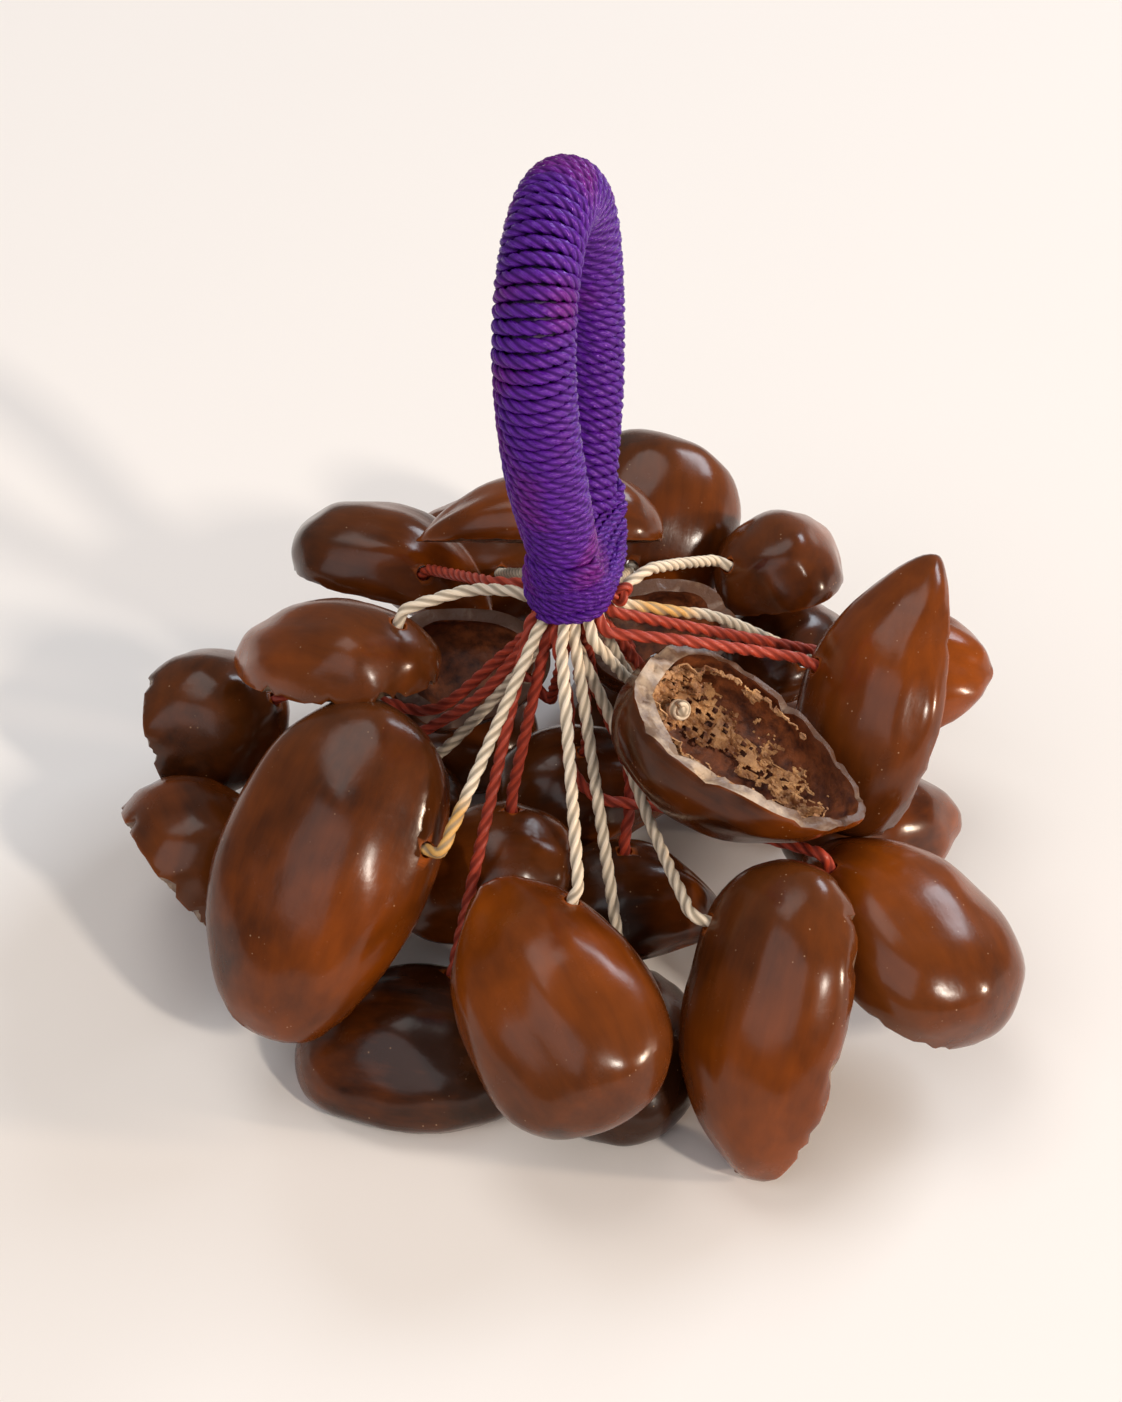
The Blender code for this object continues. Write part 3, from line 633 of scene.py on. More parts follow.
class Effect(NodeSheet):
    """A shader node group with named inputs and outputs, for an effect that several materials use."""

    def __init__(self, name: str, inputs: dict[str, str], outputs: dict[str, str]) -> None:
        """Start a group.

        Args:
            name: name of the group.
            inputs: kind of each input by name.
            outputs: kind of each output by name.
        """
        self.group = bpy.data.node_groups.new(name, "ShaderNodeTree")
        super().__init__(self.group)
        for label, kind in inputs.items():
            self.group.interface.new_socket(label, in_out="INPUT", socket_type="NodeSocket" + kind)
        for label, kind in outputs.items():
            self.group.interface.new_socket(label, in_out="OUTPUT", socket_type="NodeSocket" + kind)
        self.given = self.tree.nodes.new("NodeGroupInput").outputs
        self.made = self.tree.nodes.new("NodeGroupOutput").inputs

    @staticmethod
    def twisted_thread() -> bpy.types.NodeTree:
        """Colour, roughness and relief of twisted thread: filaments, patches of stain colour (on the
        purple thread a painted warm-light tint), and painted shade that darkens the grooves.
        """
        colours = {"Light": "Color", "Dark": "Color", "Groove Shade": "Color", "Stain And Painted Tint": "Color"}
        numbers = {"Stain Start": "Float", "Depth": "Float", "Gloss": "Float"}
        outputs = {"Color": "Color", "Roughness": "Float", "Relief": "Float"}
        sheet = Effect("twisted_thread", {**colours, **numbers}, outputs)
        given = sheet.given
        place = sheet.node("ShaderNodeTexCoord").outputs["Object"]
        twist = sheet.node("ShaderNodeUVMap", uv_map="twist").outputs["UV"]
        fibre = sheet.noise(sheet.stretched(twist, (5.0, 34.0, 1.0)), 1.0, 3.0, 0.6)
        blotch = sheet.noise(place, 240.0, 2.0, 0.5)
        patch = sheet.noise(place, 60.0, 1.0, 0.5)
        shade = sheet.mix_colour(sheet.ramp(fibre, 0.30, 0.68), given["Dark"], given["Light"])
        worn = sheet.mix_colour(sheet.ramp(blotch, 0.35, 0.75, low=0.0, high=0.35), shade, given["Dark"])
        # Patches of stain colour: real stains on the red and cream cords, a painted warm-light tint on the
        # purple thread
        full = sheet.math("ADD", given["Stain Start"], 0.12)
        spread = sheet.ramp(patch, given["Stain Start"], full, 0.0, 0.75)
        marked = sheet.math("MAXIMUM", spread, sheet.attribute("stain", "Fac"))
        stained = sheet.mix_colour(marked, worn, given["Stain And Painted Tint"])
        # Painted shade: the grooves between the strands are darkened toward the groove-shade colour
        groove = sheet.attribute("groove", "Fac")
        groove_shade = sheet.ramp(groove, 0.30, 1.0, 0.0, given["Depth"])
        shaded = sheet.mix_colour(groove_shade, stained, given["Groove Shade"])
        sheet.feed(sheet.made["Color"], shaded)
        sheet.feed(sheet.made["Roughness"], sheet.ramp(groove, 0.15, 0.75, given["Gloss"], 0.95))
        sheet.feed(sheet.made["Relief"], fibre)
        return sheet.group

    @staticmethod
    def porous_wall() -> bpy.types.NodeTree:
        """Colour and relief of a porous matt surface."""
        sheet = Effect("porous_wall", {"Dark": "Color", "Light": "Color", "Scale": "Float"},
                       {"Color": "Color", "Relief": "Float"})
        place = sheet.attribute("seed_place", "Vector")
        pores = sheet.noise(place, sheet.given["Scale"], 4.0, 0.65)
        cloud = sheet.noise(place, 90.0, 2.0, 0.5)
        cover = sheet.ramp(cloud, 0.25, 0.65, 0.35, 1.0)
        factor = sheet.math("MULTIPLY", sheet.ramp(pores, 0.34, 0.62), cover)
        colour = sheet.mix_colour(factor, sheet.given["Dark"], sheet.given["Light"])
        sheet.feed(sheet.made["Color"], colour)
        sheet.feed(sheet.made["Relief"], pores)
        return sheet.group


class Shading(NodeSheet):
    """A Principled material and the nodes round it."""

    def __init__(self, name: str) -> None:
        """Start a material with only its Principled shader."""
        self.material = bpy.data.materials.new(name)
        self.material.use_nodes = True
        super().__init__(self.material.node_tree)
        self.shader = self.tree.nodes["Principled BSDF"]

    def set(self, socket: str, value: object) -> None:
        """Give one of the shader's own sockets a constant, or a value that changes over the surface."""
        self.feed(self.shader.inputs[socket], value)

    def effect(self, group: bpy.types.NodeTree, inputs: dict) -> bpy.types.NodeOutputs:
        """Place a node group with this material's own values and give its outputs."""
        return self.node("ShaderNodeGroup", inputs, node_tree=group).outputs

    def bump(self, height: bpy.types.NodeSocket, strength: float, distance: float) -> None:
        """Add relief and lead it to the shader."""
        inputs = {"Strength": strength, "Distance": distance, "Height": height}
        self.set("Normal", self.node("ShaderNodeBump", inputs).outputs["Normal"])


@dataclass(frozen=True)
class ClothFinish:
    """Twisted thread: its colours, how shiny its filaments are, how much of it has patches of stain
    colour, and how dark the painted shade in its grooves is.
    """

    name: str
    light: tuple[float, float, float]
    dark: tuple[float, float, float]
    stain: tuple[float, float, float]
    stain_and_tint_share: float
    roughness: float
    fibres: float               # strength of the filaments' relief
    shade: float = 0.45         # how dark the painted shade at the bottom of a groove is
    gloss: float = 0.5          # strength of the reflection
    tint: tuple[float, float, float] = (1.0, 1.0, 1.0)      # of the reflection

    def make(self, thread: bpy.types.NodeTree) -> bpy.types.Material:
        """Build the material round the thread's node group."""
        sheet = Shading(self.name)
        look = sheet.effect(thread, {
            "Light": self.light,
            "Dark": self.dark,
            "Groove Shade": tuple(value * self.shade for value in self.dark),
            "Stain And Painted Tint": self.stain,
            "Stain Start": 0.72 - self.stain_and_tint_share,
            "Depth": 1.15 - self.shade,
            "Gloss": self.roughness,
        })
        sheet.set("Base Color", look["Color"])
        sheet.set("Roughness", look["Roughness"])
        sheet.set("Specular IOR Level", self.gloss)
        sheet.set("Specular Tint", self.tint)
        sheet.bump(look["Relief"], self.fibres, 0.12 * MM)
        return sheet.material


@dataclass(frozen=True)
class SkinFinish:
    """Polished seed skin: brown over orange, with streaks from tip to base, scratches and pale specks."""

    brown: tuple[float, float, float] = (0.028, 0.007, 0.002)
    orange: tuple[float, float, float] = (0.29, 0.060, 0.003)
    bloom: tuple[float, float, float] = (0.060, 0.024, 0.009)
    speck: tuple[float, float, float] = (0.50, 0.30, 0.17)

    def make(self) -> bpy.types.Material:
        """Build the material."""
        sheet = Shading("polished_skin")
        place = sheet.attribute("seed_place", "Vector")
        orange, _, edge, along = sheet.tone()
        streak = sheet.noise(sheet.stretched(place, (0.16, 1.0, 1.0)), 420.0, 4.0, 0.6)
        cloud = sheet.noise(place, 55.0, 3.0, 0.55)
        fine = sheet.noise(place, 900.0, 2.0, 0.5)
        warmth = orange
        for value, start, end, low, high in (
            (along, 0.3, 1.0, -0.08, 0.16),
            (cloud, 0.25, 0.75, -0.36, 0.32),
            (streak, 0.3, 0.7, -0.09, 0.09),
            (edge, 0.6, 1.0, 0.0, 0.30),
        ):
            warmth = sheet.math("ADD", warmth, sheet.ramp(value, start, end, low, high))
        clear = sheet.mix_colour(sheet.ramp(warmth, 0.0, 1.0), self.brown, self.orange)
        baseward = sheet.ramp(along, 0.62, 0.1, 0.0, 0.48)
        haze = sheet.math("MULTIPLY", baseward, sheet.ramp(cloud, 0.35, 0.6, 0.3, 1.0))
        body = sheet.mix_colour(haze, clear, self.bloom)
        flecks = sheet.node("ShaderNodeTexVoronoi", {"Vector": place, "Scale": 620.0, "Randomness": 1.0})
        dots = sheet.ramp(flecks.outputs["Distance"], 0.10, 0.06)
        patch = sheet.noise(place, 170.0, 1.0, 0.5)
        some = sheet.math("MULTIPLY", dots, sheet.ramp(patch, 0.52, 0.62, 0.0, 0.6))
        sheet.set("Base Color", sheet.mix_colour(some, body, self.speck))
        smear = sheet.noise(place, 130.0, 4.0, 0.65)
        sheet.set("Roughness", sheet.ramp(smear, 0.3, 0.75, 0.13, 0.32))
        sheet.set("Specular IOR Level", 0.20)
        sheet.set("Coat Weight", 0.20)
        sheet.set("Coat Roughness", 0.19)
        low = sheet.math("ADD", sheet.math("MULTIPLY", cloud, 1.4), sheet.math("MULTIPLY", streak, 0.30))
        relief = sheet.math("ADD", low, sheet.math("MULTIPLY", fine, 0.20))
        sheet.bump(relief, 0.35, 0.30 * MM)
        return sheet.material


@dataclass(frozen=True)
class RimFinish:
    """Sawn rim: pale fibrous nutshell, darker on seeds given low paleness and where the wall is thin."""

    pale: tuple[float, float, float] = (0.50, 0.36, 0.24)
    grey: tuple[float, float, float] = (0.24, 0.155, 0.100)
    # the darkest rim colour, used where the paleness is low
    worn: tuple[float, float, float] = (0.10, 0.042, 0.020)
    speck: tuple[float, float, float] = (0.09, 0.045, 0.025)

    def make(self) -> bpy.types.Material:
        """Build the material."""
        sheet = Shading("sawn_rim")
        place = sheet.attribute("seed_place", "Vector")
        _, pale, _, _ = sheet.tone()
        grain = sheet.noise(place, 1100.0, 4.0, 0.65)
        patch = sheet.noise(place, 260.0, 3.0, 0.6)
        paleness = sheet.math("ADD", pale, sheet.ramp(patch, 0.3, 0.7, -0.25, 0.2))
        clean = sheet.mix_colour(sheet.ramp(patch, 0.38, 0.60), self.grey, self.pale)
        body = sheet.mix_colour(sheet.ramp(paleness, 0.1, 0.9), self.worn, clean)
        dots = sheet.ramp(grain, 0.32, 0.40, 0.45, 0.0)
        sheet.set("Base Color", sheet.mix_colour(dots, body, self.speck))
        sheet.set("Roughness", 0.42)
        sheet.bump(grain, 0.6, 0.25 * MM)
        return sheet.material


@dataclass(frozen=True)
class HollowFinish:
    """Inside of a seed shell: dark red-brown, matt and porous."""

    name: str = "seed_hollow"
    dark: tuple[float, float, float] = (0.060, 0.014, 0.005)
    light: tuple[float, float, float] = (0.31, 0.085, 0.022)
    scale: float = 380.0

    def make(self, wall: bpy.types.NodeTree) -> bpy.types.Material:
        """Build the material round the porous wall's node group."""
        sheet = Shading(self.name)
        look = sheet.effect(wall, {"Dark": self.dark, "Light": self.light, "Scale": self.scale})
        sheet.set("Base Color", look["Color"])
        sheet.set("Roughness", 0.55)
        sheet.bump(look["Relief"], 0.9, 0.4 * MM)
        return sheet.material


class Finishes:
    """Every material of the shaker."""

    def __init__(self) -> None:
        """Build the node groups once and the materials from them."""
        thread = Effect.twisted_thread()
        wall = Effect.porous_wall()
        self.skin = SkinFinish().make()
        self.rim = RimFinish().make()
        self.hollow = HollowFinish().make(wall)
        self.membrane = HollowFinish(
            "seed_membrane", dark=(0.20, 0.075, 0.028), light=(0.72, 0.40, 0.17), scale=300.0).make(wall)
        self.rope = HollowFinish(
            "core_rope", dark=(0.02, 0.004, 0.05), light=(0.06, 0.01, 0.16), scale=900.0).make(wall)
        self.red = ClothFinish(
            "red_thread", light=(0.56, 0.068, 0.026), dark=(0.30, 0.026, 0.010),
            stain=(0.30, 0.03, 0.015), stain_and_tint_share=0.08, roughness=0.36, fibres=0.8).make(thread)
        self.cream = ClothFinish(
            "cream_thread", light=(0.98, 0.86, 0.70), dark=(0.76, 0.60, 0.42),
            stain=(0.68, 0.38, 0.11), stain_and_tint_share=0.03, roughness=0.36, fibres=0.8,
            shade=0.36).make(thread)
        # The purple thread's magenta stain colour is a painted warm-light tint in patches, not a stain
        self.purple = ClothFinish(
            "purple_thread", light=(0.105, 0.006, 0.34), dark=(0.036, 0.0015, 0.13),
            stain=(0.15, 0.005, 0.16), stain_and_tint_share=0.20, roughness=0.25, fibres=1.0,
            shade=0.30, gloss=1.0, tint=(0.62, 0.30, 1.0)).make(thread)

    def cord(self, dye: Dye) -> bpy.types.Material:
        """The material of a shell cord."""
        return self.red if dye is Dye.RED else self.cream


@dataclass
class SeedShell:
    """A polished half-cut seed shell with a sawn rim, a dark hollow and a worn hole for its cord."""

    seed: Seed
    segments: int = 56
    rings: int = 36
    swell: float = 1.00 * MM    # of the skin's unevenness
    hole_radius: float = 1.35 * MM

    def half(self, inset: float) -> bpy.types.Object:
        """One skin of the shell as an open surface in the seed's own frame, sawn off at the mouth."""
        Workbench.clear_selection()
        bpy.ops.mesh.primitive_uv_sphere_add(segments=self.segments, ring_count=self.rings, radius=1.0)
        item = bpy.context.object
        for vertex in item.data.vertices:
            direction = Vector((vertex.co.z, vertex.co.x, vertex.co.y))
            depth = inset * (1.0 - 0.55 * self.thinned(direction))
            point = Layout.seed_surface(self.seed, direction, depth)
            vertex.co = point + direction * self.unevenness(direction)
        level = self.level()
        Workbench.activate(item)
        bpy.ops.object.mode_set(mode="EDIT")
        bpy.ops.mesh.select_all(action="SELECT")
        bpy.ops.mesh.bisect(plane_co=(0, 0, level), plane_no=(0, 0, -1), clear_outer=True,
                            threshold=BISECT_TOLERANCE)
        if inset:
            bpy.ops.mesh.select_all(action="SELECT")
            bpy.ops.mesh.flip_normals()
        bpy.ops.object.mode_set(mode="OBJECT")
        return item

    def level(self) -> float:
        """Height of the mouth's plane in the seed's own frame."""
        return -self.seed.cut * self.seed.size[2] * MM / 2

    def thinned(self, direction: Vector) -> float:
        """How far the wall is worn thin in a direction, from 0 to 1: toward the far side and the tip."""
        toward = 0.50 * direction.x - 0.86 * direction.y
        return self.seed.thin * max(0.0, min(1.0, 0.5 + 1.6 * toward))

    def unevenness(self, direction: Vector) -> float:
        """How far the skin stands out of or into the even shape in a direction."""
        start = Vector((len(self.seed.name) * 3.7, self.seed.place[0], self.seed.place[1]))
        broad = noise.noise(direction * 1.3 + start)
        ridge = noise.noise(Vector((0.4 * direction.x, 2.2 * direction.y, 2.2 * direction.z)) + start * 2)
        dent = noise.noise(direction * 3.1 + start * 3)
        return self.swell * (0.9 * broad + 0.7 * ridge + 0.35 * dent)

    def chip_rim(self, item: bpy.types.Object) -> None:
        """Break the sawn rim's edge unevenly: deep chips where the seed's own value says so."""
        level = self.level()
        reach = 3.4 * MM
        start = Vector((self.seed.place[1], self.seed.place[2], 5.0))
        for vertex in item.data.vertices:
            near = 1.0 - (vertex.co.z - level) / reach
            if near <= 0.0:
                continue
            place = Vector((vertex.co.x, vertex.co.y, 0.0)) / (3.2 * MM)
            rough = max(0.0, noise.fractal(place + start, 0.8, 2.2, 3) - 0.05)
            vertex.co.z += near * self.seed.jag * 2.4 * MM * rough

    def dress(self, item: bpy.types.Object) -> None:
        """Write the attributes that the finishes read."""
        mesh = item.data
        level = self.level()
        mesh.attributes.new("seed_place", "FLOAT_VECTOR", "POINT")
        mesh.attributes.new("seed_tone", "FLOAT_COLOR", "POINT")
        places = mesh.attributes["seed_place"]
        tones = mesh.attributes["seed_tone"]
        shift = Vector((self.seed.place[0], self.seed.place[1], len(self.seed.name))) * 7 * MM
        for index, vertex in enumerate(mesh.vertices):
            places.data[index].vector = vertex.co + shift
            edge = max(0.0, 1.0 - (vertex.co.z - level) / (1.2 * MM))
            along = 0.5 + vertex.co.x / (self.seed.size[0] * MM)
            pale = self.seed.pale * (1.0 - 0.95 * self.thinned(vertex.co.normalized()))
            tones.data[index].color = (self.seed.orange, pale, edge, along)

    def build(self, finishes: Finishes) -> bpy.types.Object:
        """Model the shell and place it."""
        seed = self.seed
        outer = self.half(0.0)
        inner = self.half(WALL)
        for item in (outer, inner):
            for material in (finishes.skin, finishes.rim, finishes.hollow):
                item.data.materials.append(material)
        for face in inner.data.polygons:
            face.material_index = 2
        name = "seed_" + seed.name
        shell = Workbench.join(name, [outer, inner])
        bpy.ops.object.mode_set(mode="EDIT")
        bpy.ops.mesh.select_all(action="DESELECT")
        bpy.ops.mesh.select_mode(type="EDGE")
        bpy.ops.mesh.select_non_manifold()
        shell.active_material_index = 1
        bpy.ops.mesh.bridge_edge_loops(number_cuts=3, interpolation="LINEAR")
        bpy.ops.object.mode_set(mode="OBJECT")
        level = self.level()
        for face in shell.data.polygons:
            flat = all(abs(shell.data.vertices[i].co.z - level) < 0.01 * MM for i in face.vertices)
            if flat:
                face.material_index = 1
        self.chip_rim(shell)
        Workbench.apply_modifier(shell, "BEVEL", width=0.28 * MM, segments=2, limit_method="ANGLE",
                                 angle_limit=math.radians(48.0), material=-1)
        self.dress(shell)
        self.drill(shell, finishes)
        Workbench.activate(shell)
        bpy.ops.object.shade_smooth_by_angle(angle=math.radians(60.0))
        shell.data.transform(Matrix.Translation(AXIS_PLACE) @ Layout.seed_frame(seed))
        return declare(shell, "shell_" + seed.name)

    def drill(self, shell: bpy.types.Object, finishes: Finishes) -> None:
        """Cut the cord's hole through the wall, worn a little wider than the cord."""
        centre, outward = Layout.hole_of(self.seed)
        home = Layout.seed_frame(self.seed).inverted()
        middle = home @ centre
        normal = (home.to_3x3() @ outward).normalized()
        Workbench.clear_selection()
        aim = normal.to_track_quat("Z", "Y").to_euler()
        bpy.ops.mesh.primitive_cylinder_add(vertices=20, radius=self.hole_radius, depth=6 * WALL,
                                            location=middle, rotation=aim)
        cutter = bpy.context.object
        cutter.data.materials.append(finishes.skin)
        Workbench.apply_modifier(shell, "BOOLEAN", object=cutter, operation="DIFFERENCE", solver="EXACT")
        bpy.data.objects.remove(cutter, do_unlink=True)


@dataclass
class ShellCord:
    """A red or cream plied cord from the collar to the knot in its shell."""

    seed: Seed
    slot: Vector
    knot_turn: float = 1.05 * MM
    knot_side: tuple[float, float, float] = (0.31, 0.52, 0.79)      # any direction that no cord's end has

    def line(self) -> np.ndarray:
        """The cord's centre line in fine steps."""
        route = Layout.cord_route(self.seed, self.slot)
        eased = Layout.smooth_route(route, 0.8 * MM)
        fine = Layout.even_points(eased, 0.42 * MM)
        return as_rows(fine)

    def knot(self, line: np.ndarray) -> np.ndarray:
        """The line of the loops that make the knot round the cord's end."""
        end = line[-1]
        back = heading_of(line[[-12, -1]])[0]
        one = unit(np.cross(back, [self.knot_side]))[0]
        two = np.cross(back, one)
        turns = np.linspace(0.0, 2 * math.pi * 1.9, 64)
        lift = (0.35 + 2.6 * turns / turns[-1]) * MM
        return (end - back * (3.3 * MM - lift)[:, None]
                + self.knot_turn * (np.cos(turns)[:, None] * one + np.sin(turns)[:, None] * two))

    def build(self, finishes: Finishes) -> bpy.types.Object:
        seed = self.seed
        line = self.line()
        twist = TwistedCord(CORD_DIAMETER * 1.11, seed=len(seed.name) + int(seed.place[0]))
        span = twist.sweep("span", line)
        share = np.repeat(np.linspace(0.0, 1.0, len(line)), twist.sides)
        start, end = seed.stain
        reach = 0.06
        mark = np.clip(np.minimum(share - start, end - share) / reach + 1.0, 0.0, 1.0)
        stain = span.data.attributes.new("stain", "FLOAT", "POINT")
        stain.data.foreach_set("value", mark.astype(np.float32))
        loops = TwistedCord(CORD_DIAMETER * 0.82, seed=5).sweep("loops", self.knot(line))
        cord = Workbench.join("cord_of_" + seed.name, [span, loops])
        cord.data.materials.append(finishes.cord(seed.dye))
        declare(cord, "cord_" + seed.name)
        return cord


@dataclass
class HandleWinding:
    """The glossy twisted cord wound turn by turn round the loop of the handle."""

    pitch: float = 1.9 * MM
    width: float = 2.3 * MM
    step: float = 0.42 * MM
    below: float = 3.0 * MM     # how far the winding starts inside the collar
    loop_steps: int = 2400      # in which the loop's curve is read

    def loop(self) -> np.ndarray:
        """The loop's centre line, from inside the collar on one leg to inside it on the other."""
        start = COLLAR_BOTTOM + COLLAR_HEIGHT - self.below
        steps = self.loop_steps
        fine = [Layout.loop_point(2 * math.pi * index / steps) for index in range(steps + 1)]
        kept = [point for point in fine if point.z > start]
        return as_rows([point + AXIS_PLACE for point in Layout.even_points(kept, 0.25 * MM)])

    def build(self, finishes: Finishes) -> bpy.types.Object:
        """Model the winding."""
        loop = self.loop()
        runs = run_lengths(loop)
        plane = Vector((math.sin(LOOP_TURN), -math.cos(LOOP_TURN), 0.0))
        girth = 2 * math.pi * (CORE_DIAMETER / 2 + WINDING_CORD / 2)
        count = int(runs[-1] / self.pitch * girth / self.step)
        along = np.linspace(0.0, runs[-1], count)
        centre = rows_at(along, runs, loop)
        forward = unit(rows_at(along, runs, heading_of(loop)))
        one = square_to(np.tile(np.array(plane), (count, 1)), forward)
        two = np.cross(forward, one)
        turn = 2 * math.pi * along / self.pitch
        waver = np.array([noise.noise((a * 90.0, 2.0, 0.0)) for a in along])
        radial = np.cos(turn)[:, None] * one + np.sin(turn)[:, None] * two
        width = np.array([Layout.core_width(z) for z in centre[:, 2]])
        reach = width / 2 + CLEARANCE + WINDING_CORD / 2
        line = centre + radial * reach[:, None] + forward * (waver * 0.25 * MM)[:, None]
        across = unit(np.cross(radial, heading_of(line)))
        cord = TwistedCord(self.width, plies=3, lay=6.4 * MM, sides=12, groove=0.9)
        cord.flatness = WINDING_CORD * 1.06 / self.width
        winding = cord.wrap("handle_cord", line, across, radial)
        winding.data.materials.append(finishes.purple)
        return declare(winding, "handle_winding")


@dataclass
class Collar:
    """The same cord wound finer, in crossing turns, round the loop's feet and the cords' tops."""

    width: float = 1.75 * MM
    step: float = 0.5 * MM
    pinch: float = 0.75         # how far the upper turns sink in between the two legs
    rounding: float = 0.9 * MM  # how far the lowest turn draws in

    def line(self, turns: float, low: float, high: float,
             lean: float, proud: float, start: float) -> np.ndarray:
        """One run of turns round the collar.

        Args:
            turns: number of turns.
            low: height of the run's start.
            high: height of its end.
            lean: how far each turn rises and falls on its way round.
            proud: how far the run lies out over the turns below it.
            start: heading of its start.
        Returns:
            The run's centre line.
        """
        count = int(turns * 46 * MM / self.step)
        share = np.linspace(0.0, 1.0, count)
        angle = start + 2 * math.pi * turns * share
        waver = np.array([noise.noise((a * 1.7, start, lean * 900)) for a in angle])
        height = low + (high - low) * share + lean * np.sin(angle + start) + waver * 0.3 * MM
        rise = np.clip((height - COLLAR_BOTTOM) / COLLAR_HEIGHT, 0.0, 1.0)
        half_gap = np.array([Layout.leg_offset(value) for value in height])
        drawn_in = self.rounding * np.clip(1.0 - rise * 5.0, 0.0, 1.0)
        radius = Layout.bundle_radius() + WINDING_CORD / 2 + proud - drawn_in
        waist = np.exp(-(3.2 * np.sin(angle)) ** 2) * self.pinch * np.clip(rise * 2.2 - 1.1, 0.0, 1.0)
        across = radius * np.cos(angle) * (1.0 - waist)
        along = radius * np.sin(angle) + half_gap * np.clip(3.0 * np.sin(angle), -1.0, 1.0)
        turn = LOOP_TURN - math.pi / 2
        x = across * math.cos(turn) - along * math.sin(turn)
        y = across * math.sin(turn) + along * math.cos(turn)
        return np.stack([x, y, height], axis=1) + np.array(AXIS_PLACE)

    def build(self, finishes: Finishes) -> bpy.types.Object:
        """Model the collar's runs of turns as one piece."""
        low = COLLAR_BOTTOM + 0.6 * MM
        high = COLLAR_BOTTOM + COLLAR_HEIGHT - 0.4 * MM
        runs = (
            self.line(11.5, low, high, 0.0, 0.0, 0.3),
            self.line(4.3, low + 1.8 * MM, high - 3.6 * MM, 1.7 * MM, 0.35 * MM, 1.9),
            self.line(3.4, low + 1.9 * MM, high - 2.0 * MM, -1.6 * MM, 0.55 * MM, 4.0),
        )
        made = []
        for index, line in enumerate(runs):
            cord = TwistedCord(self.width, plies=3, lay=5.2 * MM, sides=12, groove=0.9, seed=index)
            heading = heading_of(line)
            up = square_to(np.tile((0.0, 0.0, 1.0), (len(line), 1)), heading)
            made.append(cord.wrap("run", line, up, np.cross(heading, up)))
        collar = Workbench.join("collar_cord", made)
        collar.data.materials.append(finishes.purple)
        return declare(collar, "collar_winding")


@dataclass
class RedKnot:
    """The small red knot that peeps out at the collar's foot."""

    place: Vector = field(default_factory=lambda: Vector((8.3, -5.0, 68.6)) * MM)

    def build(self, finishes: Finishes) -> bpy.types.Object:
        """Model the knot as two turns of cord over each other."""
        t = np.linspace(0.0, 2 * math.pi, 90)
        x = (np.sin(t) + 2 * np.sin(2 * t)) * 0.55 * MM
        y = (np.cos(t) - 2 * np.cos(2 * t)) * 0.55 * MM
        z = -np.sin(3 * t) * 0.55 * MM
        turn = Matrix.Rotation(math.radians(70.0), 3, "X")
        line = as_rows([turn @ Vector(point) for point in zip(x, y, z)]) + np.array(self.place)
        knot = TwistedCord(CORD_DIAMETER * 0.8, seed=9).sweep("red_knot", line[:-2])
        knot.data.materials.append(finishes.red)
        return declare(knot)


@dataclass
class Membrane:
    """Torn tan skin that is left in a ragged ring inside the open shell."""

    seed: Seed
    inset: float = WALL + 0.35 * MM
    thickness: float = 0.22 * MM
    ring: float = 0.84          # middle of the ring, as a share of the hollow's half size
    breadth: float = 0.21

    def is_torn(self, direction: Vector) -> bool:
        """Whether the skin is gone in a direction."""
        round_middle = math.hypot((direction.x + 0.12) / 0.95, direction.y / 0.9)
        edge = noise.fractal(direction * 3.4 + Vector((4, 1, 2)), 0.7, 2.2, 4) * 0.16
        pores = noise.noise(direction * 17.0) - 0.10 * direction.y
        return abs(round_middle - self.ring + edge) > self.breadth or pores > 0.42

    def build(self, finishes: Finishes) -> bpy.types.Object:
        """Model the torn skin as a thin uneven sheet inside the hollow."""
        Workbench.clear_selection()
        bpy.ops.mesh.primitive_uv_sphere_add(segments=260, ring_count=170, radius=1.0)
        sheet = bpy.context.object
        level = -self.seed.cut * self.seed.size[2] * MM / 2
        torn = set()
        for vertex in sheet.data.vertices:
            direction = Vector((vertex.co.z, vertex.co.x, vertex.co.y))
            lift = 1.5 * noise.fractal(direction * 5.0, 0.8, 2.1, 4) * MM
            point = Layout.seed_surface(self.seed, direction, self.inset + max(0.0, lift + 0.45 * MM))
            vertex.co = point
            if point.z < level + 0.5 * MM or self.is_torn(direction):
                torn.add(vertex.index)
        box = bmesh.new()
        box.from_mesh(sheet.data)
        gone = [vertex for vertex in box.verts if vertex.index in torn]
        bmesh.ops.delete(box, geom=gone, context="VERTS")
        box.to_mesh(sheet.data)
        box.free()
        Workbench.apply_modifier(sheet, "SOLIDIFY", thickness=self.thickness, offset=-1.0)
        sheet.name = "membrane_" + self.seed.name
        places = sheet.data.attributes.new("seed_place", "FLOAT_VECTOR", "POINT")
        for index, vertex in enumerate(sheet.data.vertices):
            places.data[index].vector = vertex.co
        sheet.data.materials.append(finishes.membrane)
        sheet.data.transform(Matrix.Translation(AXIS_PLACE) @ Layout.seed_frame(self.seed))
        return declare(sheet)


@dataclass(frozen=True)
class SoftLight:
    """A soft rectangular lamp aimed at the shaker."""

    name: str
    place: tuple[float, float, float]
    size: tuple[float, float]
    power: float
    colour: tuple[float, float, float]

    def build(self) -> None:
        """Add the lamp."""
        lamp = bpy.data.lights.new(self.name, "AREA")
        lamp.shape = "RECTANGLE"
        lamp.size, lamp.size_y = self.size
        lamp.energy = self.power
        lamp.color = self.colour
        item = bpy.data.objects.new(self.name, lamp)
        bpy.context.scene.collection.objects.link(item)
        item.location = self.place
        aim = Vector((0.0, 0.0, 0.05)) - item.location
        item.rotation_euler = aim.to_track_quat("-Z", "Y").to_euler()


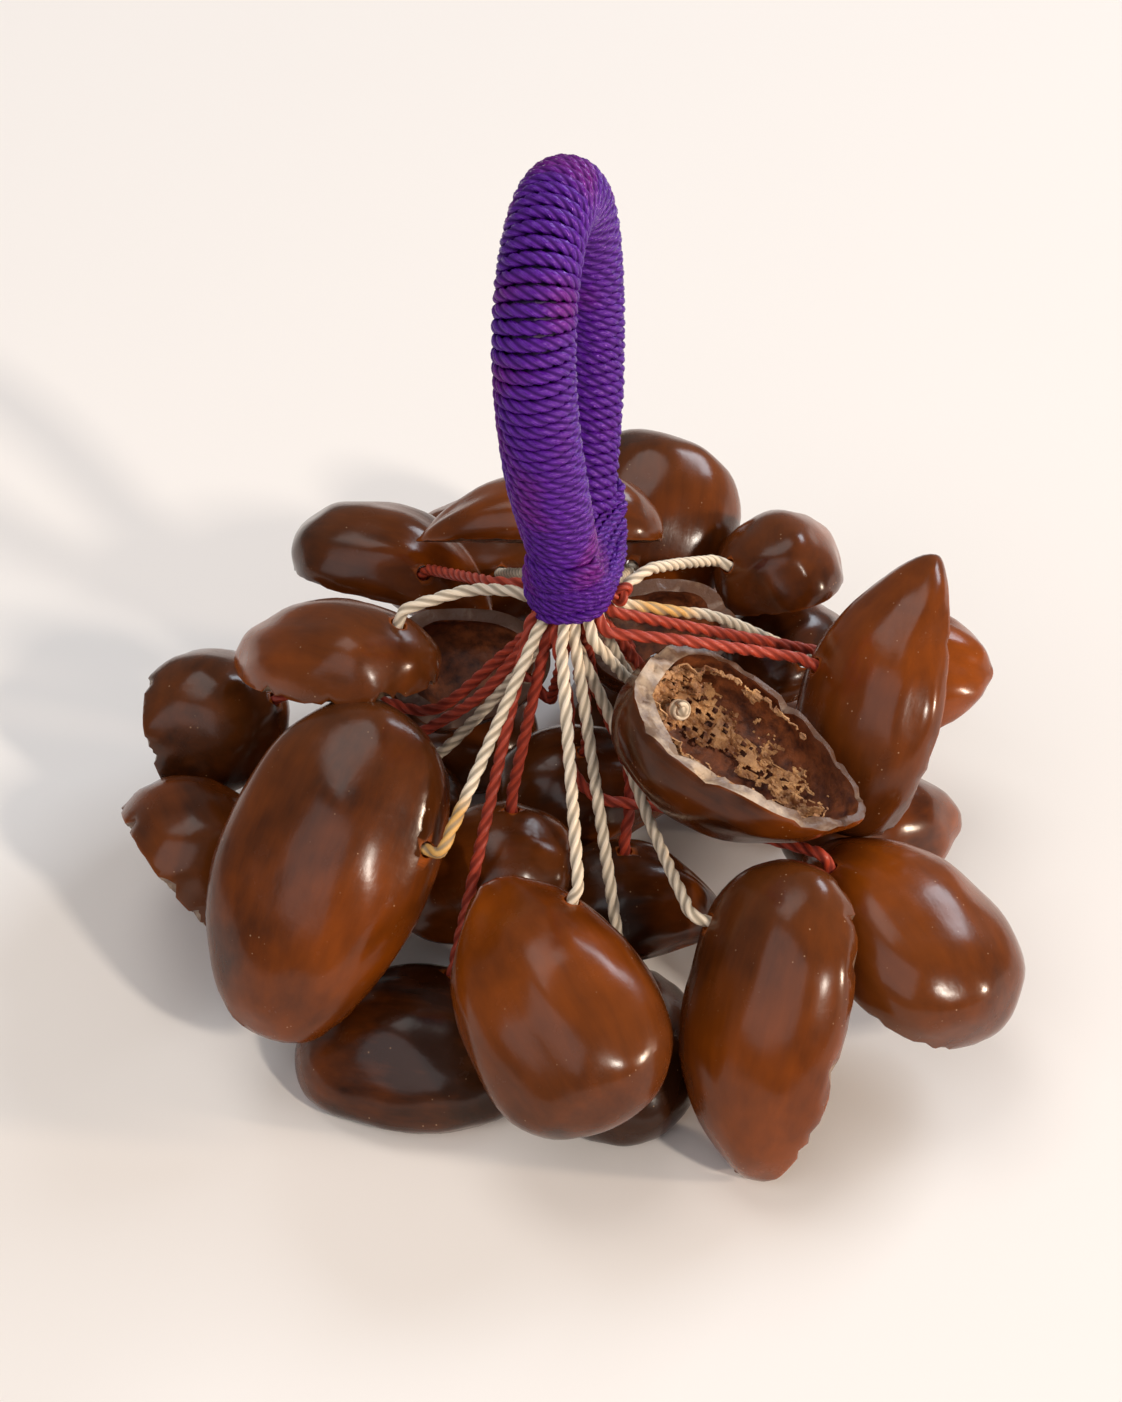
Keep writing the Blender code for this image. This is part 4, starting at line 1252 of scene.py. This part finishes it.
class Studio:
    """Floor, lamps and camera."""

    lamps = (
        SoftLight("window", (1.55, 1.50, 1.60), (1.10, 0.80), 31.0, (0.80, 0.90, 1.0)),
        SoftLight("ceiling", (-0.45, 0.50, 2.40), (1.2, 1.4), 13.0, (1.0, 0.98, 0.95)),
        SoftLight("low_bulb", (2.35, -0.55, 0.55), (0.16, 0.28), 34.0, (1.0, 0.80, 0.62)),
        SoftLight("high_bulb", (1.45, -1.65, 1.40), (0.15, 0.24), 30.0, (1.0, 0.90, 0.78)),
        SoftLight("fill", (-1.2, -1.8, 2.2), (3.0, 2.4), 30.0, (0.98, 0.97, 1.0)),
    )
    floor_colour = (0.89, 0.838, 0.800)
    world_colour = (1.0, 0.97, 0.94)
    world_strength = 0.22

    def floor(self) -> None:
        """Lay the pale floor."""
        Workbench.clear_selection()
        bpy.ops.mesh.primitive_plane_add(size=6.0, location=(0.0, 0.0, -0.00005))
        plane = bpy.context.object
        plane.name = "floor"
        sheet = Shading("pale_floor")
        place = sheet.node("ShaderNodeTexCoord").outputs["Object"]
        cloud = sheet.noise(place, 7.0, 2.0, 0.5)
        warm = tuple(value * 0.985 for value in self.floor_colour)
        sheet.set("Base Color", sheet.mix_colour(cloud, warm, self.floor_colour))
        sheet.set("Roughness", 0.9)
        sheet.set("Specular IOR Level", 0.1)
        plane.data.materials.append(sheet.material)

    def world(self) -> None:
        """Light the room evenly."""
        world = bpy.data.worlds.new("room")
        bpy.context.scene.world = world
        world.use_nodes = True
        background = world.node_tree.nodes["Background"]
        background.inputs["Color"].default_value = (*self.world_colour, 1.0)
        background.inputs["Strength"].default_value = self.world_strength

    def camera(self) -> None:
        """Set the camera at the photograph's angle."""
        data = bpy.data.cameras.new("camera")
        data.sensor_width = 36.0
        data.lens = 67.0
        data.clip_start = 0.01
        item = bpy.data.objects.new("camera", data)
        bpy.context.scene.collection.objects.link(item)
        target = Vector((-1.0, -11.9, 52.0)) * MM
        tilt = math.radians(39.0)
        item.location = target + Vector((0.0, -math.cos(tilt), math.sin(tilt))) * 420.0 * MM
        item.rotation_euler = (math.pi / 2 - tilt, 0.0, 0.0)
        bpy.context.scene.camera = item

    def build(self) -> None:
        """Set up everything that isn't the shaker."""
        self.floor()
        self.world()
        self.camera()
        for lamp in self.lamps:
            lamp.build()
        bpy.context.scene.view_settings.view_transform = "Standard"


def main() -> None:
    """Dress the shaker, piece by piece."""
    logging.basicConfig(level=logging.INFO, format="%(message)s")
    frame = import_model()
    finishes = Finishes()
    core = frame["nodes"]["handle_core"]
    core.data.materials.clear()
    core.data.materials.append(finishes.rope)
    slots = Layout.share_slots()
    for seed in SEEDS:
        shell = SeedShell(seed).build(finishes)
        cord = ShellCord(seed, slots[seed.name]).build(finishes)
        for made in (shell, cord):
            log.info("%s: %d faces", made.name, len(made.data.polygons))
        if seed.name == "open_centre":
            log.info("%s", Membrane(seed).build(finishes).name)
    for piece in (HandleWinding(), Collar(), RedKnot()):
        made = piece.build(finishes)
        log.info("%s: %d faces", made.name, len(made.data.polygons))
    Studio().build()


if __name__ == "__main__":
    main()
